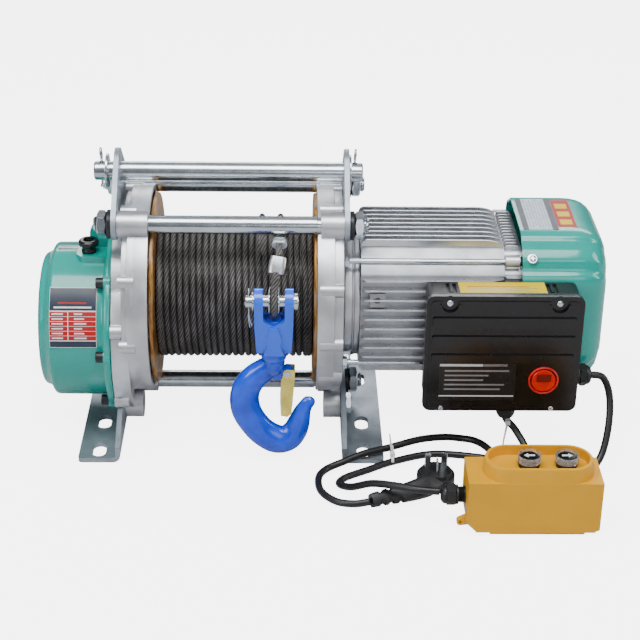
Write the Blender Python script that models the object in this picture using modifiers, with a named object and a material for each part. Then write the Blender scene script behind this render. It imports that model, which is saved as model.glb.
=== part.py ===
"""Electric wire rope hoist, modelled as separate pieces in Blender.

Lengths are in millimetres and are turned into metres by MM. Along the hoist, x is measured from the
middle of the rope drum, y from the drum's axis (the operator stands at -y) and z up from the floor.
Everything hangs under the empty hoist_frame, which puts the world origin under the middle of the left foot.
"""

import math

import bmesh
import bpy
from mathutils import Matrix, Vector

MM = 0.001
GAP = 0.3

# Driving dimensions
AXIS_Z = 138.0
FLANGE_IN = 78.2
FLANGE_OUT = 82.6
FLANGE_R = 97.0
CORE_R = 41.0
JOURNAL_R = 18.0
JOURNAL_BORE = 14.0
ROPE_D = 6.2
ROPE_PITCH = 6.48
ROPE_TURNS = 24
PACK_R = 70.7

FRAME_R = 105.0
FRAME_WALL = 5.2
LEFT_IN = -83.0
LEFT_WEB = -103.5
LEFT_FACE = -113.1
LEFT_OUT = -121.0
RIGHT_IN = 81.5
RIGHT_STEP = 98.0
RIGHT_FACE = 107.1
BEARING_R = 26.0
BEARING_IN = 92.5
BEARING_WIDTH = 12.0

TIE_PITCH_R = 107.3
TIE_ANGLE = math.radians(30.0)
TIE_D = 18.0
TIE_THREAD_D = 16.0
TIE_END = 131.0
NUT_AF = 24.0
NUT_T = 9.3
NUT_STANDOFF = 4.7
BOSS_R = 13.0

PLATE_T = 5.0
HANG_Z = 265.3
HANG_D = 19.0
HANG_LEFT = -139.2
HANG_RIGHT = 126.4

FOOT_HALF = 118.7
FOOT_WIDTH = 42.3
FOOT_RISE = 47.0
SLOT_WIDTH = 13.5
SLOT_LENGTH = 26.0
SLOT_Y = (46.5, 101.5)
SIDE_BOSS = (42.0, 26.0)
SIDE_BOSS_R = 15.0

GEARCASE_Z = 102.0
GEARCASE_R = 79.0
GEARCASE_RIM_R = 93.0
GEARCASE_END = -188.0
GEARCASE_CAP_END = -196.0
LOBE_R = 69.0
LOBE_FRONT = -3.0
PAD_TOP = 183.5
LOBE_END = -147.0
CENTRE_DISTANCE = 43.5
PINION_TEETH = 7
WHEEL_TEETH = 35
MODULE = 2 * CENTRE_DISTANCE / (PINION_TEETH + WHEEL_TEETH)

MOTOR_START = 124.5
MOTOR_END = 266.0
MOTOR_HALF = 72.0
MOTOR_SKIN = 66.5
MOTOR_BORE = 62.0
FIN_SPAN = 41.8
FINS = 9
FIN_T = 2.6
BOLT_AT = 56.5
SHIELD_END = 284.0
COWL_START = 286.5
COWL_END = 368.0
COWL_HALF = 80.0
COWL_T = 2.0

BOX_X = (186.0, 331.5)
BOX_Z = (62.0, 184.0)
BOX_BACK = -80.4
BOX_FRONT = -106.0
LID_FRONT = -112.0
ROCKER = (303.0, 95.5)
ROCKER_R = 12.6

PENDANT_X = (220.0, 350.0)
PENDANT_Y = (-246.0, -189.0)
PENDANT_TOP = 51.0
COLLAR_TOP = 66.0
BUTTON_X = (279.5, 314.5)
BUTTON_R = 9.4
CABLE_D = 7.2

HOOK_X = 39.4
HOOK_Y = -102.0
PIN_Z = 172.0
PIN_R = 6.0
CLEVIS_HALF = 19.2
CLEVIS_GAP = 10.2
CLEVIS_DEPTH = 13.0
CLEVIS_TOP = 187.0
CLEVIS_FLOOR = 143.0
CLEVIS_FILLET = 2.0
CLEVIS_BOTTOM = 119.0
COLLAR_BOTTOM = 111.0
SHANK_R = 8.0
LATCH_PIVOT = (HOOK_X + 13.5, 96.0)

ALUMINIUM = ("cast_aluminium", (0.62, 0.63, 0.65), 0.42, 0.9)
MACHINED = ("machined_aluminium", (0.72, 0.73, 0.75), 0.30, 0.95)
ZINC = ("zinc_plated_steel", (0.68, 0.72, 0.75), 0.28, 0.95)
STEEL = ("bare_steel", (0.45, 0.45, 0.46), 0.35, 0.95)
DRUM_STEEL = ("drum_steel", (0.36, 0.24, 0.12), 0.5, 0.8)
ROPE = ("greased_rope", (0.11, 0.105, 0.10), 0.45, 0.7)
TURQUOISE = ("turquoise_paint", (0.01, 0.52, 0.46), 0.28, 0.0)
BLACK = ("black_plastic", (0.015, 0.016, 0.018), 0.45, 0.0)
YELLOW = ("yellow_plastic", (1.0, 0.46, 0.005), 0.35, 0.0)
RED = ("red_lens", (0.8, 0.01, 0.01), 0.15, 0.0)
BLUE = ("blue_paint", (0.01, 0.10, 0.80), 0.3, 0.0)
LATCH_ZINC = ("yellow_zinc", (0.72, 0.62, 0.25), 0.35, 0.9)
CABLE = ("cable_rubber", (0.012, 0.012, 0.014), 0.5, 0.0)
COPPER = ("winding_copper", (0.55, 0.22, 0.08), 0.4, 0.9)
CREAM = ("capacitor_case", (0.75, 0.74, 0.68), 0.4, 0.0)


def clear_scene():
    for obj in list(bpy.data.objects):
        bpy.data.objects.remove(obj, do_unlink=True)


clear_scene()
parts = bpy.data.collections.new("electric_wire_rope_hoist")
tools = bpy.data.collections.new("cutters")
tools.hide_render = True
for group in (parts, tools):
    bpy.context.scene.collection.children.link(group)

hoist_frame = bpy.data.objects.new("hoist_frame", None)
parts.objects.link(hoist_frame)
LEFT_FOOT_X = LEFT_FACE - GAP - FOOT_WIDTH / 2
hoist_frame.location = (-LEFT_FOOT_X * MM, 0, 0)


# --- helpers -------------------------------------------------------------------------------------------


def material(look):
    """The Principled material of a (name, colour, roughness, metallic) tuple, made once."""
    name, colour, roughness, metallic = look
    found = bpy.data.materials.get(name)
    if found:
        return found
    made = bpy.data.materials.new(name)
    made.use_nodes = True
    shader = made.node_tree.nodes["Principled BSDF"]
    shader.inputs["Base Color"].default_value = (*colour, 1.0)
    shader.inputs["Roughness"].default_value = roughness
    shader.inputs["Metallic"].default_value = metallic
    return made


def place(name, mesh, look, pivot, group=parts):
    """Puts a mesh in the scene with its origin at pivot, in hoist coordinates."""
    obj = bpy.data.objects.new(name, mesh)
    group.objects.link(obj)
    obj.parent = hoist_frame
    obj.location = Vector(pivot) * MM
    if look:
        mesh.materials.append(material(look))
    mesh.shade_smooth()
    mesh.set_sharp_from_angle(angle=math.radians(35))
    if group is tools:
        obj.hide_render = True
        obj.display_type = "WIRE"
    return obj


def solid(name, bm, look, pivot=(0, 0, 0), group=parts):
    """An object from a bmesh drawn in millimetres in hoist coordinates."""
    bmesh.ops.translate(bm, verts=bm.verts, vec=-Vector(pivot))
    bmesh.ops.scale(bm, verts=bm.verts, vec=(MM, MM, MM))
    bmesh.ops.recalc_face_normals(bm, faces=bm.faces)
    mesh = bpy.data.meshes.new(name)
    bm.to_mesh(mesh)
    bm.free()
    return place(name, mesh, look, pivot, group)


def add_cylinder(bm, start, end, radius, end_radius=None, segments=32, turn=0.0):
    """A capped cylinder or cone between two points."""
    start = Vector(start)
    end = Vector(end)
    along = end - start
    spin = Vector((0, 0, 1)).rotation_difference(along).to_matrix().to_4x4()
    matrix = Matrix.Translation((start + end) / 2) @ spin @ Matrix.Rotation(turn, 4, "Z")
    bmesh.ops.create_cone(
        bm,
        cap_ends=True,
        segments=segments,
        radius1=radius,
        radius2=radius if end_radius is None else end_radius,
        depth=along.length,
        matrix=matrix,
    )


def cylinder(name, start, end, radius, look, pivot=(0, 0, 0), group=parts, **shape):
    bm = bmesh.new()
    add_cylinder(bm, start, end, radius, **shape)
    return solid(name, bm, look, pivot, group)


def box(name, low, high, look, pivot=(0, 0, 0), group=parts):
    bm = bmesh.new()
    low = Vector(low)
    high = Vector(high)
    size = Matrix.Diagonal((*(high - low), 1.0))
    bmesh.ops.create_cube(bm, size=1.0, matrix=Matrix.Translation((low + high) / 2) @ size)
    return solid(name, bm, look, pivot, group)


def turned(name, profile, look, axis_point, along="X", steps=28, pivot=None, group=parts):
    """A ring or disc from (radius, position) points. Its outer side runs from high to low position."""
    bm = bmesh.new()
    verts = [bm.verts.new((radius * MM, 0, height * MM)) for radius, height in profile]
    for first, second in zip(verts, verts[1:] + verts[:1]):
        if first.co.x or second.co.x:
            bm.edges.new((first, second))
    mesh = bpy.data.meshes.new(name)
    bm.to_mesh(mesh)
    bm.free()
    obj = place(name, mesh, look, axis_point, group)
    if along == "X":
        obj.rotation_euler = (0, math.pi / 2, 0)
    screw = obj.modifiers.new("turn", "SCREW")
    screw.axis = "Z"
    screw.steps = steps
    screw.render_steps = steps
    screw.use_merge_vertices = True
    screw.merge_threshold = 0.00001
    screw.use_smooth_shade = True
    if pivot:
        obj.location = Vector(pivot) * MM
    return obj


def curve_solid(name, curve, look, rotation=(0, 0, 0), pivot=(0, 0, 0), group=parts):
    """Turns a curve drawn in metres into a welded mesh object."""
    draft = bpy.data.objects.new(name + "_curve", curve)
    tools.objects.link(draft)
    graph = bpy.context.evaluated_depsgraph_get()
    mesh = bpy.data.meshes.new_from_object(draft.evaluated_get(graph))
    bpy.data.objects.remove(draft)
    mesh.name = name
    bm = bmesh.new()
    bm.from_mesh(mesh)
    bmesh.ops.remove_doubles(bm, verts=bm.verts, dist=0.00001)
    bmesh.ops.recalc_face_normals(bm, faces=bm.faces)
    bm.to_mesh(mesh)
    bm.free()
    mesh.materials.clear()
    obj = place(name, mesh, look, pivot, group)
    obj.rotation_euler = rotation
    return obj


def flat(name, outlines, thickness, look, plane, at, group=parts):
    """A plate from closed outlines, holes included, centred on the position at along its normal.

    The plane YZ reads outline points as (y, z) with the normal along x, XZ as (x, z) and XY as (x, y).
    """
    curve = bpy.data.curves.new(name, "CURVE")
    curve.dimensions = "2D"
    curve.fill_mode = "BOTH"
    curve.extrude = thickness / 2 * MM
    for outline in outlines:
        spline = curve.splines.new("POLY")
        spline.points.add(len(outline) - 1)
        for point, (u, v) in zip(spline.points, outline):
            point.co = (u * MM, v * MM, 0, 1)
        spline.use_cyclic_u = True
    turns = {
        "YZ": ((math.pi / 2, 0, math.pi / 2), (at, 0, 0)),
        "XZ": ((math.pi / 2, 0, 0), (0, at, 0)),
        "XY": ((0, 0, 0), (0, 0, at)),
    }
    rotation, pivot = turns[plane]
    return curve_solid(name, curve, look, rotation, pivot, group)


def wire(name, points, radius, look, cyclic=False, resolution=2, pivot=(0, 0, 0), group=parts):
    """A round bar along points. A point may carry a fourth number that scales the radius there."""
    curve = bpy.data.curves.new(name, "CURVE")
    curve.dimensions = "3D"
    curve.bevel_depth = radius * MM
    curve.bevel_resolution = resolution
    curve.use_fill_caps = not cyclic
    spline = curve.splines.new("POLY")
    spline.points.add(len(points) - 1)
    for target, source in zip(spline.points, points):
        target.co = (*((Vector(source[:3]) - Vector(pivot)) * MM), 1)
        target.radius = source[3] if len(source) > 3 else 1.0
    spline.use_cyclic_u = cyclic
    return curve_solid(name, curve, look, (0, 0, 0), pivot, group)


def through(points, per_span=5):
    """Points along a smooth Catmull-Rom line through the given points, end points kept."""
    ends = [points[0], *points, points[-1]]
    found = []
    for index in range(len(points) - 1):
        a, b, c, d = (Vector(p) for p in ends[index : index + 4])
        for step in range(per_span):
            t = step / per_span
            found.append(
                0.5 * (2 * b + (c - a) * t + (2 * a - 5 * b + 4 * c - d) * t * t + (3 * b - a - 3 * c + d) * t**3)
            )
    return [*found, Vector(points[-1])]


def arc(centre, radius, first, last, count):
    """Points on an arc from angle first to last, in degrees, about a 2D centre."""
    angles = [math.radians(first + (last - first) * step / (count - 1)) for step in range(count)]
    return [(centre[0] + radius * math.cos(a), centre[1] + radius * math.sin(a)) for a in angles]


def circle(centre, radius, count=24):
    return arc(centre, radius, 0, 360 - 360 / count, count)


def slot(centre, width, length):
    """A slot that runs along the second axis."""
    reach = (length - width) / 2
    upper = arc((centre[0], centre[1] + reach), width / 2, 0, 180, 7)
    lower = arc((centre[0], centre[1] - reach), width / 2, 180, 360, 7)
    return upper + lower


def hull(circles, count=32):
    """The outline of a belt stretched round circles given as (centre, radius)."""
    points = sorted(p for centre, radius in circles for p in circle(centre, radius, count))

    def chain(ordered):
        kept = []
        for p in ordered:
            while len(kept) > 1:
                (ax, ay), (bx, by) = kept[-2:]
                if (bx - ax) * (p[1] - ay) - (by - ay) * (p[0] - ax) > 1e-6:
                    break
                kept.pop()
            kept.append(p)
        return kept[:-1]

    return chain(points) + chain(points[::-1])


def combine(target, others, operation="UNION"):
    for other in others:
        step = target.modifiers.new(operation.lower(), "BOOLEAN")
        step.operation = operation
        step.solver = "EXACT"
        step.object = other


def soften(obj, width, segments=2, angle=35):
    bevel = obj.modifiers.new("edges", "BEVEL")
    bevel.width = width * MM
    bevel.segments = segments
    bevel.limit_method = "ANGLE"
    bevel.angle_limit = math.radians(angle)


def x_hole(name, y, z, radius, low, high, segments=24):
    return cylinder(name, (low, y, z), (high, y, z), radius, None, group=tools, segments=segments)


# Upper rods sit 30 degrees either side of the top, the lower rod straight below the axis.
TIE_RODS = {
    "upper_front": (-TIE_PITCH_R * math.sin(TIE_ANGLE), AXIS_Z + TIE_PITCH_R * math.cos(TIE_ANGLE)),
    "upper_rear": (TIE_PITCH_R * math.sin(TIE_ANGLE), AXIS_Z + TIE_PITCH_R * math.cos(TIE_ANGLE)),
    "lower": (0.0, AXIS_Z - TIE_PITCH_R),
}
UPPER_RODS = ("upper_front", "upper_rear")
HOLE_GAP = 0.4
NUT_END = NUT_STANDOFF + NUT_T + PLATE_T


# --- end frames -----------------------------------------------------------------------------------------


def frame_bosses(side, inner, face):
    """The round bosses of an end frame that hold the tie rods and the foot screws."""
    made = []
    for rod, (y, z) in TIE_RODS.items():
        made.append(cylinder(f"{side}_{rod}_boss", (inner, y, z), (face, y, z), BOSS_R, None, group=tools, segments=16))
    for y in (-SIDE_BOSS[0], SIDE_BOSS[0]):
        start = (face * 0.84, y, SIDE_BOSS[1])
        end = (face, y, SIDE_BOSS[1])
        made.append(cylinder(f"{side}_foot_boss", start, end, SIDE_BOSS_R, None, group=tools, segments=16))
    return made


def left_end_frame():
    """Gear-side frame: drum guard ring, bearing hub and the flat face that the gear case bolts to."""
    profile = [
        (FRAME_R, LEFT_IN),
        (FRAME_R, LEFT_WEB),
        (30, LEFT_WEB),
        (30, -91),
        (38, -91),
        (38, -97),
        (FRAME_R - FRAME_WALL, -97),
        (FRAME_R - FRAME_WALL, LEFT_IN),
    ]
    frame = turned("left_end_frame", profile, ALUMINIUM, (0, 0, AXIS_Z))
    disc_ends = ((LEFT_OUT, 0, GEARCASE_Z), (-102.5, 0, GEARCASE_Z))
    disc = cylinder("gear_face", *disc_ends, GEARCASE_RIM_R, None, group=tools, segments=28)
    lobe_ends = ((LEFT_OUT, 0, AXIS_Z), (-101.5, 0, AXIS_Z))
    lobe = cylinder("lobe_face", *lobe_ends, LOBE_R + 1, None, group=tools, segments=28)
    combine(frame, [disc, lobe, *frame_bosses("left", LEFT_IN - 0.2, LEFT_FACE)])
    cuts = [
        x_hole("left_seat", 0, AXIS_Z, BEARING_R + 0.3, -105.9, -80, 28),
        x_hole("left_bore", 0, AXIS_Z, JOURNAL_R + 1, -130, -80, 32),
        x_hole("counter_seat", 0, AXIS_Z - CENTRE_DISTANCE, 5.3, -130, -109.5, 12),
        box("foot_slot", (LEFT_FACE - PLATE_T - 2 * GAP, -78, -10), (LEFT_FACE, 78, 51), None, group=tools),
        x_hole("left_lower_thread", *TIE_RODS["lower"], TIE_THREAD_D / 2 + HOLE_GAP, -102, -70, 12),
    ]
    for rod in UPPER_RODS:
        cuts.append(x_hole(f"left_{rod}_hole", *TIE_RODS[rod], TIE_THREAD_D / 2 + HOLE_GAP, -130, -70, 12))
    combine(frame, cuts, "DIFFERENCE")


def right_end_frame():
    """Motor-side frame: drum guard ring, bearing hub and the face that the motor bolts to."""
    profile = [
        (FRAME_R - 4, RIGHT_FACE),
        (FRAME_R - 4, RIGHT_STEP),
        (FRAME_R, RIGHT_STEP),
        (FRAME_R, RIGHT_IN),
        (FRAME_R - FRAME_WALL, RIGHT_IN),
        (FRAME_R - FRAME_WALL, 96),
        (38, 96),
        (38, 91),
        (BEARING_R + 0.3, 91),
        (BEARING_R + 0.3, 104.8),
        (JOURNAL_R + 1, 104.8),
        (JOURNAL_R + 1, RIGHT_FACE),
    ]
    frame = turned("right_end_frame", profile, ALUMINIUM, (0, 0, AXIS_Z))
    half_y, z = SIDE_BOSS
    web = box("right_foot_web", (96.5, -half_y, z - 12), (RIGHT_FACE - 0.2, half_y, z + 36), None, group=tools)
    combine(frame, [web, *frame_bosses("right", RIGHT_IN + 0.2, RIGHT_FACE + 0.2)])
    cuts = [x_hole("right_flange_room", 0, AXIS_Z, FLANGE_R + 1.6, 70, FLANGE_OUT + 1.9, 28)]
    for rod, (y, z) in TIE_RODS.items():
        cuts.append(x_hole(f"right_{rod}_hole", y, z, TIE_THREAD_D / 2 + HOLE_GAP, 70, 130, 12))
    for y in (-SIDE_BOSS[0], SIDE_BOSS[0]):
        cuts.append(x_hole("right_foot_thread", y, SIDE_BOSS[1], 5.4, 92, 130, 10))
    combine(frame, cuts, "DIFFERENCE")


def bearings():
    outer = BEARING_R - 0.1
    inner = JOURNAL_R + 0.35
    for side, low in (("left", -BEARING_IN - BEARING_WIDTH), ("right", BEARING_IN)):
        high = low + BEARING_WIDTH
        ring = [(outer, high), (outer, low), (inner, low), (inner, high)]
        turned(f"{side}_drum_bearing", ring, STEEL, (0, 0, AXIS_Z), steps=24)


# --- tie rods, suspension and feet ------------------------------------------------------------------------


def tie_rod(name, y, z, left_end, right_end):
    """A rod that is full size between the frames and turned down for its threads."""
    body = TIE_D / 2
    thread = TIE_THREAD_D / 2
    rod_left = LEFT_IN + GAP
    rod_right = RIGHT_IN - GAP
    profile = [
        (0, right_end),
        (thread, right_end),
        (thread, rod_right),
        (body, rod_right),
        (body, rod_left),
        (thread, rod_left),
        (thread, left_end),
        (0, left_end),
    ]
    turned(name, profile, ZINC, (0, y, z), steps=16)


def hex_nut(name, y, z, low, high, hole_r, across_flats=NUT_AF):
    corner_r = across_flats / 2 / math.cos(math.pi / 6)
    outline = circle((y, z), corner_r, 6)
    hole = circle((y, z), hole_r, 12)
    flat(name, [outline, hole], high - low, ZINC, "YZ", (low + high) / 2)


def tie_rods_and_nuts():
    left_nut = LEFT_FACE - GAP - PLATE_T - NUT_STANDOFF
    right_nut = RIGHT_FACE + 0.2 + GAP + PLATE_T + NUT_STANDOFF
    hole_r = TIE_THREAD_D / 2 + 0.45
    for rod, (y, z) in TIE_RODS.items():
        left_end = -TIE_END - 5 if rod in UPPER_RODS else -101.0
        tie_rod(f"{rod}_tie_rod", y, z, left_end, TIE_END)
        hex_nut(f"{rod}_right_nut", y, z, right_nut, right_nut + NUT_T, hole_r)
        if rod in UPPER_RODS:
            hex_nut(f"{rod}_left_nut", y, z, left_nut - NUT_T, left_nut, hole_r)


def suspension():
    """The bar that the hoist hangs from, its two triangular side plates and their split pins."""
    bar_r = HANG_D / 2
    bar = cylinder("suspension_rod", (HANG_LEFT, 0, HANG_Z), (HANG_RIGHT, 0, HANG_Z), bar_r, ZINC, segments=20)
    soften(bar, 1.0, 1)
    pin_x = {"left": HANG_LEFT + 7.5, "right": HANG_RIGHT - 8.0}
    pin_r = 1.7
    for side, x in pin_x.items():
        hole = cylinder(f"{side}_pin_hole", (x, 0, HANG_Z - 20), (x, 0, HANG_Z + 20), pin_r + 0.3, None,
                        group=tools, segments=12)
        combine(bar, [hole], "DIFFERENCE")
        legs = [(x, 0, HANG_Z - 19), (x, 0, HANG_Z + 11)]
        eye = [(x, 3.6 * math.sin(a), HANG_Z + 15 - 4 * math.cos(a)) for a in (0.8, 1.6, 2.4, 3.14, 3.9, 4.7)]
        wire(f"{side}_split_pin", legs + eye, pin_r, ZINC)
    middle = {"left": LEFT_FACE - GAP - PLATE_T / 2, "right": RIGHT_FACE + 0.2 + GAP + PLATE_T / 2}
    lower = [TIE_RODS[rod] for rod in UPPER_RODS]
    outline = hull([((0, HANG_Z), 23.0), (lower[0], 15.5), (lower[1], 15.5)], 24)
    holes = [circle((0, HANG_Z), bar_r + HOLE_GAP, 20)]
    holes += [circle(centre, TIE_THREAD_D / 2 + HOLE_GAP, 12) for centre in lower]
    for side, x in middle.items():
        flat(f"{side}_suspension_plate", [outline, *holes], PLATE_T, ZINC, "YZ", x)


def foot(side, wall_x, outward):
    """A bent foot: a slotted pad on the floor and an upright wall with a sloping top."""
    pad_mid = wall_x + outward * FOOT_WIDTH / 2
    corner = 4.0
    half_w = FOOT_WIDTH / 2 - corner
    half_l = FOOT_HALF - corner
    corners = [((pad_mid + i * half_w, j * half_l), corner) for i, j in ((-1, -1), (1, -1), (1, 1), (-1, 1))]
    slots = [
        slot((pad_mid + outward * 1.2, sign * y), SLOT_WIDTH, SLOT_LENGTH) for y in SLOT_Y for sign in (-1, 1)
    ]
    pad = flat(f"{side}_foot", [hull(corners, 8), *slots], PLATE_T, ZINC, "XY", PLATE_T / 2)
    wall = [
        (-FOOT_HALF + 1, 1.0),
        (FOOT_HALF - 1, 1.0),
        (FOOT_HALF - 1, 17.0),
        (64.0, FOOT_RISE),
        (-64.0, FOOT_RISE),
        (-FOOT_HALF + 1, 17.0),
    ]
    holes = []
    if side == "right":
        holes.append(circle(TIE_RODS["lower"], TIE_THREAD_D / 2 + HOLE_GAP, 16))
        holes += [circle((y, SIDE_BOSS[1]), 5.5, 12) for y in (-SIDE_BOSS[0], SIDE_BOSS[0])]
    upright = flat(f"{side}_foot_wall", [wall, *holes], PLATE_T, None, "YZ", wall_x + outward * PLATE_T / 2,
                   group=tools)
    combine(pad, [upright])


def foot_bolts():
    head_low = RIGHT_FACE + 0.2 + 2 * GAP + PLATE_T
    for name, y in (("front_foot_bolt", -SIDE_BOSS[0]), ("rear_foot_bolt", SIDE_BOSS[0])):
        z = SIDE_BOSS[1]
        shank = cylinder(name, (94, y, z), (head_low + 1, y, z), 5.0, ZINC, segments=16)
        head_ends = ((head_low, y, z), (head_low + 6.4, y, z))
        head = cylinder(name + "_head", *head_ends, 10.4, None, group=tools, segments=6, turn=math.pi / 6)
        combine(shank, [head])


def feet():
    foot("left", LEFT_FACE - GAP, -1)
    foot("right", RIGHT_FACE + 0.2 + GAP, 1)
    foot_bolts()


# --- gear case and gears ----------------------------------------------------------------------------------


def gear_housing():
    """The oil-tight gear case, open towards the end frame, with its upper lobe and filler pad."""
    z = GEARCASE_Z
    rim_x = LEFT_OUT - GAP
    profile = [
        (0, rim_x),
        (GEARCASE_RIM_R, rim_x),
        (GEARCASE_RIM_R, rim_x - 7),
        (GEARCASE_R, rim_x - 7),
        (GEARCASE_R, GEARCASE_END + 3),
        (GEARCASE_R - 3, GEARCASE_END),
        (GEARCASE_R - 9, GEARCASE_END),
        (GEARCASE_R - 12, GEARCASE_CAP_END),
        (0, GEARCASE_CAP_END),
    ]
    case = turned("gear_housing", profile, TURQUOISE, (0, 0, z))
    lobe_ends = ((LOBE_END, 0, AXIS_Z), (rim_x, 0, AXIS_Z))
    lobe = cylinder("lobe", *lobe_ends, LOBE_R, None, group=tools, segments=36)
    before_lobe = box("before_lobe", (-200, -90, 0), (-100, LOBE_FRONT, 230), None, group=tools)
    combine(lobe, [before_lobe], "DIFFERENCE")
    pad = box("filler_pad", (-159, -27, z + 60), (rim_x - 4, 6, PAD_TOP), None, group=tools)
    boss_z = AXIS_Z - CENTRE_DISTANCE
    boss_ends = ((GEARCASE_END + 2, 0, boss_z), (-172, 0, boss_z))
    boss = cylinder("counter_boss", *boss_ends, 11, None, group=tools, segments=20)
    room_ends = ((GEARCASE_END + 4, 0, z), (-110, 0, z))
    room = cylinder("gear_room", *room_ends, GEARCASE_R - 5, None, group=tools, segments=28)
    filler = cylinder("filler_hole", (-147, -14, 168), (-147, -14, 200), 5.7, None, group=tools, segments=14)
    combine(case, [lobe, pad])
    combine(case, [room, filler], "DIFFERENCE")
    combine(case, [boss])
    combine(case, [x_hole("counter_bore", 0, boss_z, 5.3, -180, -160, 12)], "DIFFERENCE")
    top = PAD_TOP + 13.5
    seat = PAD_TOP + GAP
    plug = [(0, top), (8.5, top), (10.2, top - 2), (10.2, top - 6), (6.5, top - 8), (6.5, seat)]
    plug += [(5.2, seat), (5.2, 173.5), (0, 173.5)]
    turned("oil_filler_plug", plug, BLACK, (-147, -14, 0), along="Z", steps=14)


def gear_outline(centre, teeth, tooth_angle):
    """A simplified involute gear: straight-sided teeth with running clearance. One tooth is at tooth_angle."""
    pitch_r = teeth * MODULE / 2
    root_r = pitch_r - 1.1 * MODULE
    tip_r = pitch_r + 0.62 * MODULE
    pitch = 2 * math.pi / teeth
    outline = []
    for tooth in range(teeth):
        middle = math.radians(tooth_angle) + tooth * pitch
        for radius, share in ((root_r, -0.21), (tip_r, -0.08), (tip_r, 0.08), (root_r, 0.21)):
            angle = middle + share * pitch
            outline.append((centre[0] + radius * math.cos(angle), centre[1] + radius * math.sin(angle)))
    return outline


def at_axis(obj, y, z):
    """Moves an object's origin to a joint axis without moving its shape."""
    target = Vector((0, y * MM, z * MM))
    shift = obj.rotation_euler.to_matrix().inverted() @ (obj.location - target)
    obj.data.transform(Matrix.Translation(shift))
    obj.location = target


def gear_train():
    """Drum gear, countershaft with its wheel and pinion, and the motor shaft with its own pinion."""
    counter_z = AXIS_Z - CENTRE_DISTANCE
    final_mid = -131.0
    first_mid = -163.0
    hole = circle((0, AXIS_Z), JOURNAL_R + 0.35, 24)
    drum_gear = flat(
        "drum_output_gear",
        [gear_outline((0, AXIS_Z), WHEEL_TEETH, -90), hole],
        14.0,
        STEEL,
        "YZ",
        final_mid,
    )
    at_axis(drum_gear, 0, AXIS_Z)

    shaft_ends = ((-178, 0, counter_z), (-110.5, 0, counter_z))
    shaft = cylinder("countershaft", *shaft_ends, 4.8, STEEL, pivot=(0, 0, counter_z), segments=16)
    pinion_outline = gear_outline((0, counter_z), PINION_TEETH, 90 + 180 / PINION_TEETH)
    pinion = flat("counter_pinion", [pinion_outline], 15.0, None, "YZ", final_mid, group=tools)
    wheel_outline = gear_outline((0, counter_z), WHEEL_TEETH, 90 + 180 / WHEEL_TEETH)
    wheel = flat("counter_wheel", [wheel_outline], 10.0, None, "YZ", first_mid, group=tools)
    combine(shaft, [pinion, wheel])

    motor_profile = [
        (0, 322),
        (6.5, 322),
        (6.5, 286),
        (7.2, 286),
        (7.2, -141),
        (4.8, -141),
        (4.8, -170),
        (0, -170),
    ]
    motor_shaft = turned("motor_shaft", motor_profile, STEEL, (0, 0, AXIS_Z), steps=16)
    motor_pinion = flat(
        "motor_pinion",
        [gear_outline((0, AXIS_Z), PINION_TEETH, -90)],
        12.0,
        None,
        "YZ",
        first_mid,
        group=tools,
    )
    combine(motor_shaft, [motor_pinion])


# --- drum and rope ----------------------------------------------------------------------------------------


def drum():
    """Welded drum with two flanges and hollow journals that the motor shaft runs through."""
    profile = [
        (JOURNAL_R, 104.6),
        (JOURNAL_R, FLANGE_OUT),
        (FLANGE_R, FLANGE_OUT),
        (FLANGE_R, FLANGE_IN),
        (CORE_R, FLANGE_IN),
        (CORE_R, -FLANGE_IN),
        (FLANGE_R, -FLANGE_IN),
        (FLANGE_R, -FLANGE_OUT),
        (JOURNAL_R, -FLANGE_OUT),
        (JOURNAL_R, -139.0),
        (JOURNAL_BORE, -139.0),
        (JOURNAL_BORE, -79.0),
        (36, -73),
        (36, 73),
        (JOURNAL_BORE, 79.0),
        (JOURNAL_BORE, 104.6),
    ]
    turned("rope_drum", profile, DRUM_STEEL, (0, 0, AXIS_Z))


def wound_rope():
    """The rope on the drum as one ridged sleeve, a ridge for every second turn of the outer layer."""
    half = ROPE_TURNS * ROPE_PITCH / 2
    ridges = []
    for pair in range(ROPE_TURNS // 2):
        middle = half - (2 * pair + 1) * ROPE_PITCH
        ridges.append((PACK_R - ROPE_D * 0.4, middle + ROPE_PITCH))
        ridges.append((PACK_R, middle))
    ridges.append((PACK_R - ROPE_D * 0.4, -half))
    inside = [(CORE_R + 1.3, -half), (CORE_R + 1.3, half)]
    turned("wound_rope", ridges + inside, ROPE, (0, 0, AXIS_Z), steps=16)


LEAD_END = (44.0, -81.4, 211.0)
SLEEVE_TOP = (43.8, -82.0, 210.2)
SLEEVE_END = (41.0, -92.0, 196.2)


def rope_lead():
    """The rope from the top of the drum, under the upper front tie rod, to the sleeve."""
    points = [
        (45.6, 6, AXIS_Z + PACK_R + 4.2),
        (45.4, -24, 213.6),
        (45.0, -48, 217.2),
        (44.6, -64, 218.0),
        (44.2, -75, 216.4),
        LEAD_END,
    ]
    wire("rope_lead", through(points, 4), ROPE_D / 2, ROPE)


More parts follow.
